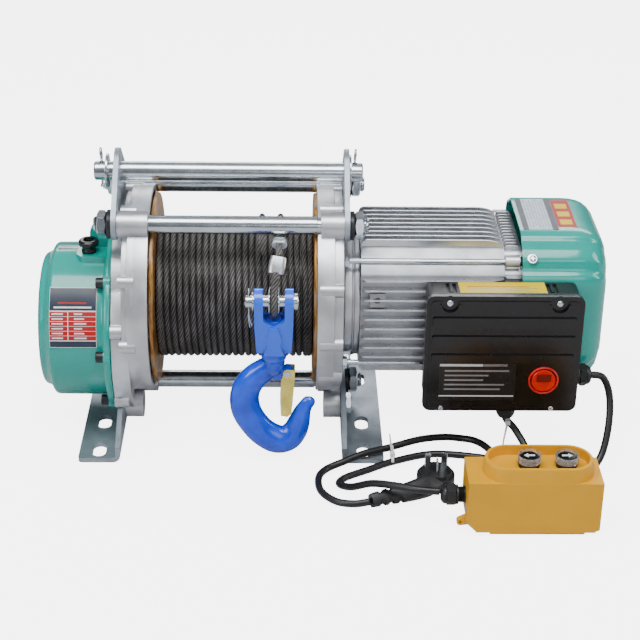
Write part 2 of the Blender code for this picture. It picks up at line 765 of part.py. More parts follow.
def rope_end():
    """The eye that is formed in the rope's end, and the pressed sleeve that closes it."""
    eye_r = PIN_R + GAP + 2.2 + ROPE_D / 2
    down = (Vector(SLEEVE_END) - Vector(SLEEVE_TOP)).normalized()
    tilt = math.atan2(down.y, down.z)
    centre = Vector((HOOK_X, HOOK_Y, PIN_Z))
    lower = []
    for step in range(13):
        angle = tilt + math.radians(-122 + 244 * step / 12)
        lower.append(centre + Vector((0, math.sin(angle) * eye_r, math.cos(angle) * eye_r)))
    neck = Vector(SLEEVE_END) + down * (ROPE_D / 2 + 0.8)
    side = Vector((0, down.z, -down.y)) * (ROPE_D / 2 - 0.3)
    first = neck - side if (lower[0] - neck).dot(side) < 0 else neck + side
    last = neck * 2 - first
    wire("rope_eye", [first, *lower, last], ROPE_D / 2, ROPE, cyclic=True, pivot=(HOOK_X, HOOK_Y, PIN_Z))
    sleeve = cylinder("rope_sleeve", SLEEVE_TOP, SLEEVE_END, 5.0, MACHINED, segments=20)
    widen = Matrix.Diagonal((1.6, 1.0, 1.0, 1.0))
    middle = Matrix.Translation(Vector(SLEEVE_TOP).lerp(Vector(SLEEVE_END), 0.5) * MM)
    sleeve.data.transform(middle @ widen @ middle.inverted())


# --- hook block ---------------------------------------------------------------------------------------------


def clevis():
    """The forged yoke that joins the rope's eye to the swivelling hook."""
    outline = [
        (HOOK_X - CLEVIS_HALF, CLEVIS_TOP),
        (HOOK_X - CLEVIS_HALF + 1.5, CLEVIS_BOTTOM),
        (HOOK_X + CLEVIS_HALF - 1.5, CLEVIS_BOTTOM),
        (HOOK_X + CLEVIS_HALF, CLEVIS_TOP),
        (HOOK_X + CLEVIS_GAP, CLEVIS_TOP),
        (HOOK_X + CLEVIS_GAP, CLEVIS_FLOOR),
        (HOOK_X - CLEVIS_GAP, CLEVIS_FLOOR),
        (HOOK_X - CLEVIS_GAP, CLEVIS_TOP),
    ]
    yoke = flat("hook_clevis", [outline], 2 * CLEVIS_DEPTH, BLUE, "XZ", HOOK_Y)
    soften(yoke, CLEVIS_FILLET, 1)
    collar_ends = ((HOOK_X, HOOK_Y, CLEVIS_BOTTOM + 3), (HOOK_X, HOOK_Y, COLLAR_BOTTOM))
    collar = cylinder("clevis_collar", *collar_ends, 12.4, None, group=tools, segments=24)
    bore_ends = ((HOOK_X, HOOK_Y, 100), (HOOK_X, HOOK_Y, CLEVIS_FLOOR + 2))
    bore = cylinder("clevis_bore", *bore_ends, SHANK_R + HOLE_GAP, None, group=tools, segments=24)
    combine(yoke, [collar])
    combine(yoke, [bore, x_hole("pin_bore", HOOK_Y, PIN_Z, PIN_R + 0.3, 0, 80, 24)], "DIFFERENCE")

    pin_left = (HOOK_X - 28, HOOK_Y, PIN_Z)
    pin_right = (HOOK_X + CLEVIS_HALF + 2, HOOK_Y, PIN_Z)
    pin = cylinder("clevis_pin", pin_left, pin_right, PIN_R, ZINC, pivot=(HOOK_X, HOOK_Y, PIN_Z), segments=20)
    head_ends = ((HOOK_X + CLEVIS_HALF + GAP, HOOK_Y, PIN_Z), (HOOK_X + CLEVIS_HALF + 4.3, HOOK_Y, PIN_Z))
    combine(pin, [cylinder("clevis_pin_head", *head_ends, 8.2, None, group=tools, segments=20)])


def hook():
    """The swivel hook: a tapering curved bar, flattened front to back, on a round shank."""
    bar = [
        (0.0, 104.0, 10.5),
        (-6.0, 99.5, 12.4),
        (-15.0, 92.0, 13.8),
        (-23.5, 81.0, 14.5),
        (-27.5, 67.5, 14.8),
        (-26.0, 52.5, 15.0),
        (-19.5, 38.0, 15.3),
        (-8.0, 26.0, 15.5),
        (6.5, 18.8, 15.6),
        (19.0, 24.0, 14.4),
        (27.0, 36.0, 12.0),
        (31.5, 48.0, 8.8),
        (35.5, 57.5, 6.2),
        (38.0, 62.5, 4.6),
    ]
    axis = (HOOK_X, HOOK_Y, 0)
    widest = 15.0
    points = [(HOOK_X + x, HOOK_Y, z, r / widest) for x, z, r in bar]
    body = wire("swivel_hook", points, widest, BLUE, resolution=3, pivot=axis)
    body.data.transform(Matrix.Diagonal((1.0, 0.72, 1.0, 1.0)))
    shank_ends = ((HOOK_X, HOOK_Y, 98), (HOOK_X, HOOK_Y, CLEVIS_FLOOR + 11))
    shank = cylinder("hook_shank", *shank_ends, SHANK_R, None, group=tools, segments=24)
    neck_ends = ((HOOK_X, HOOK_Y, 95), (HOOK_X, HOOK_Y, COLLAR_BOTTOM - GAP))
    neck = cylinder("hook_neck", *neck_ends, 10.0, None, group=tools, segments=24)
    px, pz = LATCH_PIVOT
    lug = cylinder("latch_lug", (px, HOOK_Y - 4.5, pz), (px, HOOK_Y + 4.5, pz), 5.2, None, group=tools, segments=16)
    web = box("latch_web", (px - 10, HOOK_Y - 4.5, pz - 4), (px, HOOK_Y + 4.5, pz + 4), None, group=tools)
    hole = cylinder("latch_hole", (px, HOOK_Y - 9, pz), (px, HOOK_Y + 9, pz), 2.3, None, group=tools, segments=12)
    combine(body, [shank, neck, web, lug])
    combine(body, [hole], "DIFFERENCE")

    nut_low = CLEVIS_FLOOR + CLEVIS_FILLET + GAP
    nut_outline = circle((HOOK_X, HOOK_Y), 9.6, 24)
    nut_hole = circle((HOOK_X, HOOK_Y), SHANK_R + 0.3, 16)
    flat("swivel_nut", [nut_outline, nut_hole], 8.0, ZINC, "XY", nut_low + 4.0)


def latch():
    """The sprung safety latch: a tongue that closes the hook's mouth, two cheeks and its pivot pin."""
    px, pz = LATCH_PIVOT
    tip_x = px - 1.0
    tip_z = 47.0
    lean = math.atan2(tip_x - px, pz - tip_z)
    reach = math.hypot(tip_x - px, pz - tip_z)
    turn = Matrix.Translation((px, HOOK_Y, pz)) @ Matrix.Rotation(-lean, 4, "Y")

    def panel(name, low, high, group, look=None):
        obj = box(name, low, high, look, group=group)
        to_m = Matrix.Scale(MM, 4)
        obj.data.transform(to_m @ turn @ to_m.inverted())
        return obj

    tongue = panel("safety_latch", (6.2, -7.0, -reach), (8.0, 7.0, 3), parts, LATCH_ZINC)
    cheeks = []
    for sign in (-1, 1):
        edges = sorted((sign * 4.9, sign * 7.0))
        cheeks.append(panel("latch_cheek", (-3.0, edges[0], -7), (7.0, edges[1], 4), tools))
    pin = cylinder("latch_pin", (px, HOOK_Y - 7.6, pz), (px, HOOK_Y + 7.6, pz), 2.0, None, group=tools, segments=12)
    combine(tongue, [*cheeks, pin])


# --- motor ----------------------------------------------------------------------------------------------------


def square_section(half, skin, fins):
    """Cross-section of the finned motor body: four finned sides and notched corners for the tie bolts."""
    pitch = 2 * FIN_SPAN / (FINS - 1)
    side = [(skin, -46.0)]
    if fins:
        for index in range(FINS):
            y = -FIN_SPAN + index * pitch
            side += [(skin, y - FIN_T / 2), (half, y - FIN_T / 2), (half, y + FIN_T / 2), (skin, y + FIN_T / 2)]
    side += [(skin, 46.0), (58.5, 50.0), (50.0, 58.5)]
    outline = []
    for quarter in range(4):
        c = (1, 0, -1, 0)[quarter]
        s = (0, 1, 0, -1)[quarter]
        outline += [(u * c - v * s, AXIS_Z + u * s + v * c) for u, v in side]
    return outline


def motor():
    """Adaptor, finned body, windings, rotor, rear shield, tie bolts, fan and cowl."""
    adaptor_low = RIGHT_FACE + GAP
    flange_mid = (118.5 + 124.2) / 2
    corners = [((i * BOLT_AT, AXIS_Z + j * BOLT_AT), 11.0) for i in (-1, 1) for j in (-1, 1)]
    bore = circle((0, AXIS_Z), 28, 24)
    flange = flat("motor_flange", [hull(corners, 12), bore], 124.2 - 118.5, MACHINED, "YZ", flange_mid)
    drum_ring = [(64, 119.5), (64, adaptor_low), (30, adaptor_low), (30, 119.5)]
    combine(flange, [turned("adaptor_ring", drum_ring, None, (0, 0, AXIS_Z), group=tools)])
    bolt_holes = [
        x_hole("flange_bolt_hole", i * BOLT_AT, AXIS_Z + j * BOLT_AT, 3.2, 100, 140, 8)
        for i in (-1, 1)
        for j in (-1, 1)
    ]
    combine(flange, bolt_holes, "DIFFERENCE")

    hole = circle((0, AXIS_Z), MOTOR_BORE, 32)
    length = MOTOR_END - MOTOR_START
    body_outline = square_section(MOTOR_HALF, MOTOR_SKIN, True)
    flat("motor_body", [body_outline, hole], length, MACHINED, "YZ", (MOTOR_START + MOTOR_END) / 2)

    stator = [(MOTOR_BORE - 0.6, 236), (MOTOR_BORE - 0.6, 146), (45.6, 146), (45.6, 236)]
    turned("stator", stator, COPPER, (0, 0, AXIS_Z), steps=24)
    rotor = [(44, 231), (44, 151), (7.5, 151), (7.5, 231)]
    turned("rotor", rotor, STEEL, (0, 0, AXIS_Z), steps=24)

    shield_low = MOTOR_END + GAP
    shield_hole = circle((0, AXIS_Z), 7.6, 20)
    shield_outline = square_section(MOTOR_HALF, MOTOR_SKIN + 1.5, False)
    shield_mid = (shield_low + SHIELD_END) / 2
    shield = flat("rear_shield", [shield_outline, shield_hole], SHIELD_END - shield_low, ALUMINIUM, "YZ", shield_mid)
    pocket = x_hole("shield_pocket", 0, AXIS_Z, 56, SHIELD_END - 11, SHIELD_END + 5, 32)
    combine(shield, [pocket], "DIFFERENCE")

    for index, (i, j) in enumerate(((-1, -1), (1, -1), (-1, 1), (1, 1))):
        y = i * BOLT_AT
        z = AXIS_Z + j * BOLT_AT
        shank = cylinder(f"motor_tie_bolt_{index + 1}", (112.5, y, z), (SHIELD_END + 1.8, y, z), 2.7, ZINC, segments=8)
        head_ends = ((111.0, y, z), (118.2, y, z))
        head = cylinder("bolt_head", *head_ends, 6.0, None, group=tools, segments=6)
        combine(shank, [head])

    fan_profile = [(12, 324), (12, 306), (6.8, 306), (6.8, 324)]
    fan = turned("cooling_fan", fan_profile, BLACK, (0, 0, AXIS_Z), steps=16)
    back = turned("fan_disc", [(58, 309), (58, 306.5), (10, 306.5), (10, 309)], None, (0, 0, AXIS_Z), steps=24,
                  group=tools)
    blades = []
    for index in range(6):
        angle = index * math.pi / 3
        blade = box("fan_blade", (307.5, -1.2, 11), (326, 1.2, 56), None, pivot=(0, 0, 0), group=tools)
        blade.rotation_euler = (angle, 0, 0)
        blade.location = (0, 0, AXIS_Z * MM)
        blades.append(blade)
    combine(fan, [back, *blades])


def cowl_ring(half, x):
    """One cross-section of the cowl: a rounded square with a shallow valley at each corner."""
    side = [(1.0, -0.52), (1.0, 0.0), (1.0, 0.52), (0.92, 0.66), (0.79, 0.79), (0.66, 0.92)]
    ring = []
    for quarter in range(4):
        c = (1, 0, -1, 0)[quarter]
        s = (0, 1, 0, -1)[quarter]
        ring += [(x, half * (u * c - v * s), AXIS_Z + half * (u * s + v * c)) for u, v in side]
    return ring


def fan_cowl():
    """The painted cover over the fan: a shell lofted through sections, open at the motor end."""
    sections = [(COWL_HALF, COWL_START), (COWL_HALF, 340), (77, 354), (69, 364), (56, COWL_END)]
    bm = bmesh.new()
    rings = [[bm.verts.new(point) for point in cowl_ring(half, x)] for half, x in sections]
    for inner, outer in zip(rings, rings[1:]):
        for index in range(len(inner)):
            nxt = (index + 1) % len(inner)
            bm.faces.new((inner[index], inner[nxt], outer[nxt], outer[index]))
    bm.faces.new(rings[-1])
    cowl = solid("fan_cowl", bm, TURQUOISE)
    shell = cowl.modifiers.new("wall", "SOLIDIFY")
    shell.thickness = COWL_T * MM
    shell.offset = -1
    slots = []
    for index in range(5):
        y = (index - 2) * 15.0
        reach = 34 - abs(index - 2) * 5
        slots.append(box("air_slot", (350, y - 3.5, AXIS_Z - reach), (380, y + 3.5, AXIS_Z + reach), None, group=tools))
    combine(cowl, slots, "DIFFERENCE")


# --- control box ------------------------------------------------------------------------------------------------


def control_box():
    """Box on the front of the motor, its lid, the run capacitor, the rocker switch and two cable glands."""
    low_x, high_x = BOX_X
    low_z, high_z = BOX_Z
    wall = 2.5
    base = box("control_box_base", (low_x, BOX_FRONT, low_z), (high_x, BOX_BACK, high_z), BLACK)
    soften(base, 3.0, 1)
    inside_low = (low_x + wall, BOX_FRONT - 10, low_z + wall)
    inside_high = (high_x - wall, BOX_BACK - wall, high_z - wall)
    room = box("box_room", inside_low, inside_high, None, group=tools)
    outlet_x = 272.0
    outlet_y = -92.0
    side_z = 88.0
    side_hole = x_hole("side_outlet", outlet_y, side_z, 6, high_x - 8, high_x + 8, 16)
    lower_ends = ((outlet_x, outlet_y, low_z - 8), (outlet_x, outlet_y, low_z + 8))
    lower_hole = cylinder("lower_outlet", *lower_ends, 6, None, group=tools, segments=16)
    neck_low = (low_x + 14, BOX_BACK - 1.5, 100)
    neck_high = (low_x + 84, -MOTOR_HALF - GAP, 170)
    combine(base, [box("box_neck", neck_low, neck_high, None, group=tools)])
    combine(base, [room, side_hole, lower_hole], "DIFFERENCE")

    lid_low = (low_x - 1.5, LID_FRONT, low_z - 1.5)
    lid_high = (high_x + 1.5, BOX_FRONT - GAP, high_z + 1.5)
    lid = box("control_box_lid", lid_low, lid_high, BLACK)
    soften(lid, 2.5, 1)
    hole_ends = ((ROCKER[0], LID_FRONT - 5, ROCKER[1]), (ROCKER[0], BOX_FRONT + 5, ROCKER[1]))
    combine(lid, [cylinder("rocker_hole", *hole_ends, ROCKER_R + 1, None, group=tools, segments=24)], "DIFFERENCE")

    rocker_ends = ((ROCKER[0], LID_FRONT - 2.5, ROCKER[1]), (ROCKER[0], BOX_FRONT - 2.8, ROCKER[1]))
    rocker_pivot = (ROCKER[0], LID_FRONT + 2, ROCKER[1])
    cylinder("rocker_switch", *rocker_ends, ROCKER_R, RED, pivot=rocker_pivot, segments=24)

    cap_ends = ((low_x + 12, -94.4, 150), (low_x + 92, -94.4, 150))
    cylinder("run_capacitor", *cap_ends, 11.0, CREAM, segments=20)

    gland = cylinder("power_gland", (high_x + GAP, outlet_y, side_z), (high_x + 9, outlet_y, side_z), 8.5, BLACK,
                     segments=16)
    nut_ends = ((high_x + 7, outlet_y, side_z), (high_x + 18.5, outlet_y, side_z))
    combine(gland, [cylinder("power_gland_nut", *nut_ends, 11.2, None, group=tools, segments=6)])
    control = cylinder("control_gland", (outlet_x, outlet_y, low_z - GAP), (outlet_x, outlet_y, low_z - 12), 9.0,
                       BLACK, segments=12)
    soften(control, 1.5, 1)


# --- pendant, cables and plug ----------------------------------------------------------------------------------------


def stadium(low_x, high_x, low_y, high_y, count=9):
    """An outline with half-round ends, for the pendant's raised collar."""
    radius = (high_y - low_y) / 2
    mid_y = (low_y + high_y) / 2
    right = arc((high_x - radius, mid_y), radius, -90, 90, count)
    left = arc((low_x + radius, mid_y), radius, 90, 270, count)
    return right + left


def pendant():
    """Hand-held control with a raised collar round two push buttons."""
    low_x, high_x = PENDANT_X
    low_y, high_y = PENDANT_Y
    body = box("pendant_body", (low_x, low_y, 3), (high_x, high_y, PENDANT_TOP), YELLOW)
    soften(body, 3.5, 1)
    collar_x = (low_x + 16, high_x - 8)
    outer = stadium(*collar_x, low_y + 2, high_y - 2)
    inner = stadium(collar_x[0] + 3, collar_x[1] - 3, low_y + 5, high_y - 5)
    height = COLLAR_TOP - 40
    collar = flat("pendant_collar", [outer], height, None, "XY", COLLAR_TOP - height / 2, group=tools)
    recess = flat("pendant_recess", [inner], 20, None, "XY", 56 + 10, group=tools)
    room = box("pendant_room", (low_x + 3, low_y + 3, -5), (high_x - 3, high_y - 3, PENDANT_TOP - 3), None, group=tools)
    combine(body, [room], "DIFFERENCE")
    combine(body, [collar])
    wells = []
    middle_y = (low_y + high_y) / 2
    for name, x in zip(("up_button", "down_button"), BUTTON_X):
        well_ends = ((x, middle_y, 30), (x, middle_y, 75))
        wells.append(cylinder(name + "_well", *well_ends, BUTTON_R + HOLE_GAP, None, group=tools, segments=24))
        button_ends = ((x, middle_y, 52), (x, middle_y, 70.5))
        cylinder(name, *button_ends, BUTTON_R, BLACK, pivot=(x, middle_y, 0), segments=20)
    combine(body, [recess, *wells], "DIFFERENCE")

    gland_z = 31.0
    gland_y = middle_y
    neck = cylinder("pendant_gland", (low_x - GAP, gland_y, gland_z), (low_x - 10, gland_y, gland_z), 8.0, BLACK,
                    segments=16)
    nut_ends = ((low_x - 8, gland_y, gland_z), (low_x - 23, gland_y, gland_z))
    combine(neck, [cylinder("pendant_gland_nut", *nut_ends, 10.4, None, group=tools, segments=6)])


def cables():
    """Pendant cable and power cable, lying on the floor in a loose bundle, and the mains plug."""
    radius = CABLE_D / 2
    floor = radius + 0.6
    pendant_line = [
        (196.2, -217.5, 31),
        (178, -215, 31),
        (155, -203, 28),
        (134, -190, 22),
        (115, -176, 9),
        (104, -163, floor),
        (110, -152, floor),
        (132, -138, floor),
        (160, -121, floor),
        (200, -107, floor),
        (250, -114, floor),
        (268, -140, floor),
        (292, -148, floor),
        (298, -122, 12),
        (284, -98, 30),
        (272.5, -92.5, 44),
        (272, -92, 48.8),
    ]
    wire("pendant_cable", through(pendant_line, 2), radius, CABLE)
    power_line = [
        (350.6, -92, 88),
        (366, -93, 85),
        (374, -100, 66),
        (372, -116, 38),
        (362, -134, 14),
        (340, -152, floor),
        (300, -168, floor),
        (240, -170, floor + 9),
        (222, -140, floor + 11),
        (215, -100, 15),
        (190, -96, 14),
        (156, -105, 10.5),
        (130, -116, 10),
        (110, -126, 7),
        (92, -136, floor),
        (84, -152, floor),
        (86, -176, floor),
        (100, -194, floor),
        (117, -201, 6),
        (131.6, -202, 9),
    ]
    wire("power_cable", through(power_line, 2), radius, CABLE)

    relief = cylinder("mains_plug", (134, -201.2, 10), (190, -181, 13), 6.2, BLACK, end_radius=9.5, segments=16)
    head = cylinder("plug_head", (198, -160, 2), (198, -160, 19), 18.6, None, group=tools, segments=28)
    shoulder = cylinder("plug_shoulder", (184, -184, 12.5), (196, -160, 12.5), 9.6, None, group=tools, segments=16)
    pins = []
    for x, y, angle in ((190, -156, 0.5), (206, -156, -0.5), (198, -168, 1.57)):
        pin = box("plug_pin", (-3.1, -0.9, 17), (3.1, 0.9, 36), None, group=tools)
        pin.location = (x * MM, y * MM, 0)
        pin.rotation_euler = (0, 0, angle)
        pins.append(pin)
    combine(relief, [shoulder, head, *pins])


def build():
    left_end_frame()
    right_end_frame()
    bearings()
    tie_rods_and_nuts()
    suspension()
    feet()
    gear_housing()
    gear_train()
    drum()
    wound_rope()
    rope_lead()
    rope_end()
    clevis()
    hook()
    latch()
    motor()
    fan_cowl()
    control_box()
    pendant()
    cables()


build()
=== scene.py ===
"""Looks for the electric wire rope hoist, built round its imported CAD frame.

Shapes are drawn in millimetres in hoist coordinates: x from the middle of the drum, y from the drum's axis
(the operator stands at -y), z up from the floor. TO_WORLD turns them into the frame's metres.
"""

import math

import bmesh
import bpy
from mathutils import Matrix, Vector


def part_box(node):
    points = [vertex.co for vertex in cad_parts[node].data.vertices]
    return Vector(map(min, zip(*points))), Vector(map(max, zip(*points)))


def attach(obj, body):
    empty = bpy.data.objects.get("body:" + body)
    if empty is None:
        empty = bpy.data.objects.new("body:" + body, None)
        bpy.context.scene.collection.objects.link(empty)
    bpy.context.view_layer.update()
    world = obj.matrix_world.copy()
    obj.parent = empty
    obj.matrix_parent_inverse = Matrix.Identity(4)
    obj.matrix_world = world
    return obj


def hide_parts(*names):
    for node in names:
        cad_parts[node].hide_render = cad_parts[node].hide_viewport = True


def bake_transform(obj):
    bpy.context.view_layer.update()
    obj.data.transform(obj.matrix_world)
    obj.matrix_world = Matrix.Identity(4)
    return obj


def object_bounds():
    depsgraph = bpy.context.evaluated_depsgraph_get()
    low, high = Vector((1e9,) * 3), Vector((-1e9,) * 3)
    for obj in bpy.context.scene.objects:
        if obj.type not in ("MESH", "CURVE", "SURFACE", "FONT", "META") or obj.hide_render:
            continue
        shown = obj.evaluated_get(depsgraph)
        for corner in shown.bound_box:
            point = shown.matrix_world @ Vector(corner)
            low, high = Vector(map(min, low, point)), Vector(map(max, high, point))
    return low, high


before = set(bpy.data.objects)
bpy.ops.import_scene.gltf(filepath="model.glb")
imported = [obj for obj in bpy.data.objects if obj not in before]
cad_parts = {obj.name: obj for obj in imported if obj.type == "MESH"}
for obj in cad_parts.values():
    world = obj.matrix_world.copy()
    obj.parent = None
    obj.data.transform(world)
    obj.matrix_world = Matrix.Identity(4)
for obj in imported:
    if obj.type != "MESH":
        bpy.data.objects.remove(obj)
cad_low, cad_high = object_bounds()

MM = 0.001
DRUM_LOW, DRUM_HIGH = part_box("wound_rope")
ORIGIN_X = (DRUM_LOW[0] + DRUM_HIGH[0]) / 2
TO_WORLD = Matrix.Translation((ORIGIN_X, 0, 0)) @ Matrix.Scale(MM, 4)
FROM_WORLD = TO_WORLD.inverted()


def box_of(node):
    """Lowest and highest corner of a CAD node, in hoist millimetres."""
    low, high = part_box(node)
    return FROM_WORLD @ Vector(low), FROM_WORLD @ Vector(high)


def middle_of(node):
    low, high = box_of(node)
    return (low + high) / 2


AXIS_Z = middle_of("rope_drum").z
LEFT_LOW, LEFT_HIGH = box_of("left_end_frame")
RIGHT_LOW, RIGHT_HIGH = box_of("right_end_frame")
PACK_LOW, PACK_HIGH = box_of("wound_rope")
GEAR_LOW, GEAR_HIGH = box_of("gear_housing")
MOTOR_LOW, MOTOR_HIGH = box_of("motor_body")
COWL_LOW = box_of("fan_cowl")[0]
LID_LOW, LID_HIGH = box_of("control_box_lid")
BASE_LOW, BASE_HIGH = box_of("control_box_base")
PENDANT_LOW, PENDANT_HIGH = box_of("pendant_body")
CLEVIS_LOW, CLEVIS_HIGH = box_of("hook_clevis")
HOOK_X = (CLEVIS_LOW.x + CLEVIS_HIGH.x) / 2
HOOK_Y = (CLEVIS_LOW.y + CLEVIS_HIGH.y) / 2
PIN_Z = middle_of("clevis_pin").z
RODS = {name: middle_of(name + "_tie_rod") for name in ("upper_front", "upper_rear", "lower")}
UPPER = ("upper_front", "upper_rear")
BAR = middle_of("suspension_rod")
ROPE_D = 6.3
ROPE_PITCH = 6.48
ROPE_TURNS = 24
ROPE_LAY = 38  # rope length, in mm, in which its strands go round once
GEARCASE_Z = 102.0
BOLT_AT = middle_of("motor_tie_bolt_2").y
BOLT_PLACES = [(y, AXIS_Z + z) for y in (-BOLT_AT, BOLT_AT) for z in (-BOLT_AT, BOLT_AT)]
SHARP_ANGLE = 32  # degrees; edges sharper than this are rounded
FOOT_BOSSES = ((-42, 26), (42, 26))
TIE_HOLE_R = 8.4
LATCH_PIVOT = Vector((HOOK_X + 13.5, HOOK_Y, 96.0))
SWITCH = Vector((303, 0, 95.5))

# Studio, in metres and watts.
FLOOR_REACH = 6.0
FLOOR_LEVEL = -0.0004
SKY = 0.5  # strength of the sky that lights the object
BACKDROP = 5.0  # brightness of floor and surroundings as the camera sees them
SOFTBOXES = (
    ("overhead", (-0.15, -0.45, 1.55), (1.7, 0.8), 34),
    ("front_left", (-1.5, -1.3, 0.9), (0.9, 0.9), 15),
    ("front_fill", (0.6, -1.9, 0.8), (1.2, 0.7), 6),
    ("back_strip", (0.2, 1.6, 0.9), (2.0, 0.35), 13),
    ("right_strip", (1.7, -0.2, 0.7), (0.4, 1.0), 8),
)
CAMERA_AT = (0.18631, -1.5107, 0.86728)
CAMERA_PITCH, CAMERA_YAW, CAMERA_ROLL = 26.9, 1.31, 0.9  # degrees
CAMERA_LENS = 91.8


# --- materials -----------------------------------------------------------------------------------


class Graph:
    """A small wrapper that adds nodes to one material."""

    def __init__(self, name):
        self.material = bpy.data.materials.new(name)
        self.material.use_nodes = True
        self.tree = self.material.node_tree
        self.shader = self.tree.nodes["Principled BSDF"]
        self.coords = self.add("ShaderNodeTexCoord")

    def add(self, kind, **values):
        node = self.tree.nodes.new(kind)
        for key, value in values.items():
            if hasattr(node, key):
                setattr(node, key, value)
            else:
                node.inputs[key].default_value = value
        return node

    def link(self, source, target):
        self.tree.links.new(source, target)

    def noise(self, scale, detail=3.0, stretch=(1, 1, 1), space="Object"):
        mapping = self.add("ShaderNodeMapping")
        mapping.inputs["Scale"].default_value = stretch
        self.link(self.coords.outputs[space], mapping.inputs["Vector"])
        noise = self.add("ShaderNodeTexNoise", Scale=scale, Detail=detail)
        self.link(mapping.outputs["Vector"], noise.inputs["Vector"])
        return noise.outputs["Fac"]

    def ramp(self, fac, low, high, first, last):
        """A colour ramp from first to last between two factors."""
        ramp = self.add("ShaderNodeValToRGB")
        ramp.color_ramp.elements[0].position = low
        ramp.color_ramp.elements[0].color = (*first, 1)
        ramp.color_ramp.elements[1].position = high
        ramp.color_ramp.elements[1].color = (*last, 1)
        self.link(fac, ramp.inputs["Fac"])
        return ramp.outputs["Color"]

    def mix(self, fac, a, b):
        mix = self.add("ShaderNodeMix", data_type="RGBA")
        self.link(fac, mix.inputs[0])
        for value, socket in ((a, mix.inputs[6]), (b, mix.inputs[7])):
            if isinstance(value, tuple):
                socket.default_value = (*value, 1)
            else:
                self.link(value, socket)
        return mix.outputs[2]

    def span(self, fac, low, high):
        """Maps a factor from 0..1 to low..high."""
        node = self.add("ShaderNodeMapRange")
        node.inputs["To Min"].default_value = low
        node.inputs["To Max"].default_value = high
        self.link(fac, node.inputs["Value"])
        return node.outputs["Result"]

    def maths(self, operation, *values):
        node = self.add("ShaderNodeMath", operation=operation)
        for value, socket in zip(values, node.inputs):
            if isinstance(value, float):
                socket.default_value = value
            else:
                self.link(value, socket)
        return node.outputs["Value"]

    def bump(self, height, strength, distance):
        node = self.add("ShaderNodeBump", Strength=strength, Distance=distance * MM)
        self.link(height, node.inputs["Height"])
        last = self.shader.inputs["Normal"]
        if last.is_linked:
            self.link(last.links[0].from_socket, node.inputs["Normal"])
        self.link(node.outputs["Normal"], last)


def tone(colour, factor):
    return tuple(min(1.0, c * factor) for c in colour)


def surface(name, colour, rough, metal=0.0, coat=0.0, patch=(60, 0.85, 1.1), grain=(900, 0.15, 0.05),
            wear=None, stretch=(1, 1, 1)):
    """A finish with blotchy tone, uneven gloss, fine grain and, where asked, worn edges.

    patch is (scale, darkest, lightest); grain is (scale, bump strength, bump height in mm); wear is the
    colour that shows on rubbed edges.
    """
    graph = Graph(name)
    shader = graph.shader
    blotch = graph.noise(patch[0], 4.0, stretch)
    base = graph.ramp(blotch, 0.35, 0.68, tone(colour, patch[1]), tone(colour, patch[2]))
    if wear:
        edges = graph.add("ShaderNodeNewGeometry").outputs["Pointiness"]
        worn = graph.ramp(edges, 0.54, 0.62, (0, 0, 0), (0.75, 0.75, 0.75))
        base = graph.mix(worn, base, wear)
    graph.link(base, shader.inputs["Base Color"])
    shader.inputs["Metallic"].default_value = metal
    gloss = graph.noise(patch[0] * 3.1, 3.0, stretch)
    graph.link(graph.span(gloss, max(0.04, rough - 0.09), rough + 0.09), shader.inputs["Roughness"])
    shader.inputs["Coat Weight"].default_value = coat
    shader.inputs["Coat Roughness"].default_value = 0.06
    graph.bump(graph.noise(grain[0], 2.0, stretch), grain[1], grain[2])
    return graph.material


def rope_material(name, shaded_radius=None):
    """Greased steel strands: bright crowns, painted shade in the valleys between them and fine wires that
    run along the rope.

    With a shaded radius, everything nearer the drum axis than that is painted dark as shade, as in the gaps
    between turns.
    """
    graph = Graph(name)
    shader = graph.shader
    split = graph.add("ShaderNodeSeparateXYZ")
    graph.link(graph.coords.outputs["UV"], split.inputs["Vector"])
    strand = graph.maths("FRACT", split.outputs["X"])
    # Painted shade: the colour darkens from each strand's crown towards the valleys between strands.
    crown = graph.span(graph.maths("PINGPONG", strand, 0.5), 0.0, 2.0)
    angle = graph.maths("MULTIPLY_ADD", split.outputs["Y"], 6.0, split.outputs["X"])
    wires = graph.maths("SINE", graph.maths("MULTIPLY", angle, 2 * math.pi * 5))
    grease = graph.noise(45, 5.0)
    valley_shade_colour = graph.ramp(grease, 0.3, 0.7, (0.028, 0.026, 0.024), (0.085, 0.08, 0.075))
    light = graph.ramp(grease, 0.3, 0.7, (0.13, 0.128, 0.125), (0.30, 0.295, 0.29))
    colour = graph.mix(crown, valley_shade_colour, light)
    # Painted shade: below the shaded radius the rope is painted near black, as shade in the gaps between
    # turns.
    if shaded_radius:
        place_in_space = graph.add("ShaderNodeSeparateXYZ")
        graph.link(graph.coords.outputs["Object"], place_in_space.inputs["Vector"])
        flat = graph.add("ShaderNodeCombineXYZ")
        graph.link(place_in_space.outputs["Y"], flat.inputs["Y"])
        graph.link(place_in_space.outputs["Z"], flat.inputs["Z"])
        radius = graph.add("ShaderNodeVectorMath", operation="DISTANCE")
        graph.link(flat.outputs["Vector"], radius.inputs[0])
        radius.inputs[1].default_value = (0, 0, AXIS_Z * MM)
        shade = graph.add("ShaderNodeMapRange")
        graph.link(radius.outputs["Value"], shade.inputs["Value"])
        shade.inputs["From Min"].default_value = (shaded_radius - 1.2) * MM
        shade.inputs["From Max"].default_value = (shaded_radius + 1.2) * MM
        colour = graph.mix(shade.outputs["Result"], (0.006, 0.006, 0.006), colour)
    graph.link(colour, shader.inputs["Base Color"])
    shader.inputs["Metallic"].default_value = 0.75
    graph.link(graph.span(grease, 0.28, 0.5), shader.inputs["Roughness"])
    graph.bump(wires, 0.5, 0.25)
    return graph.material


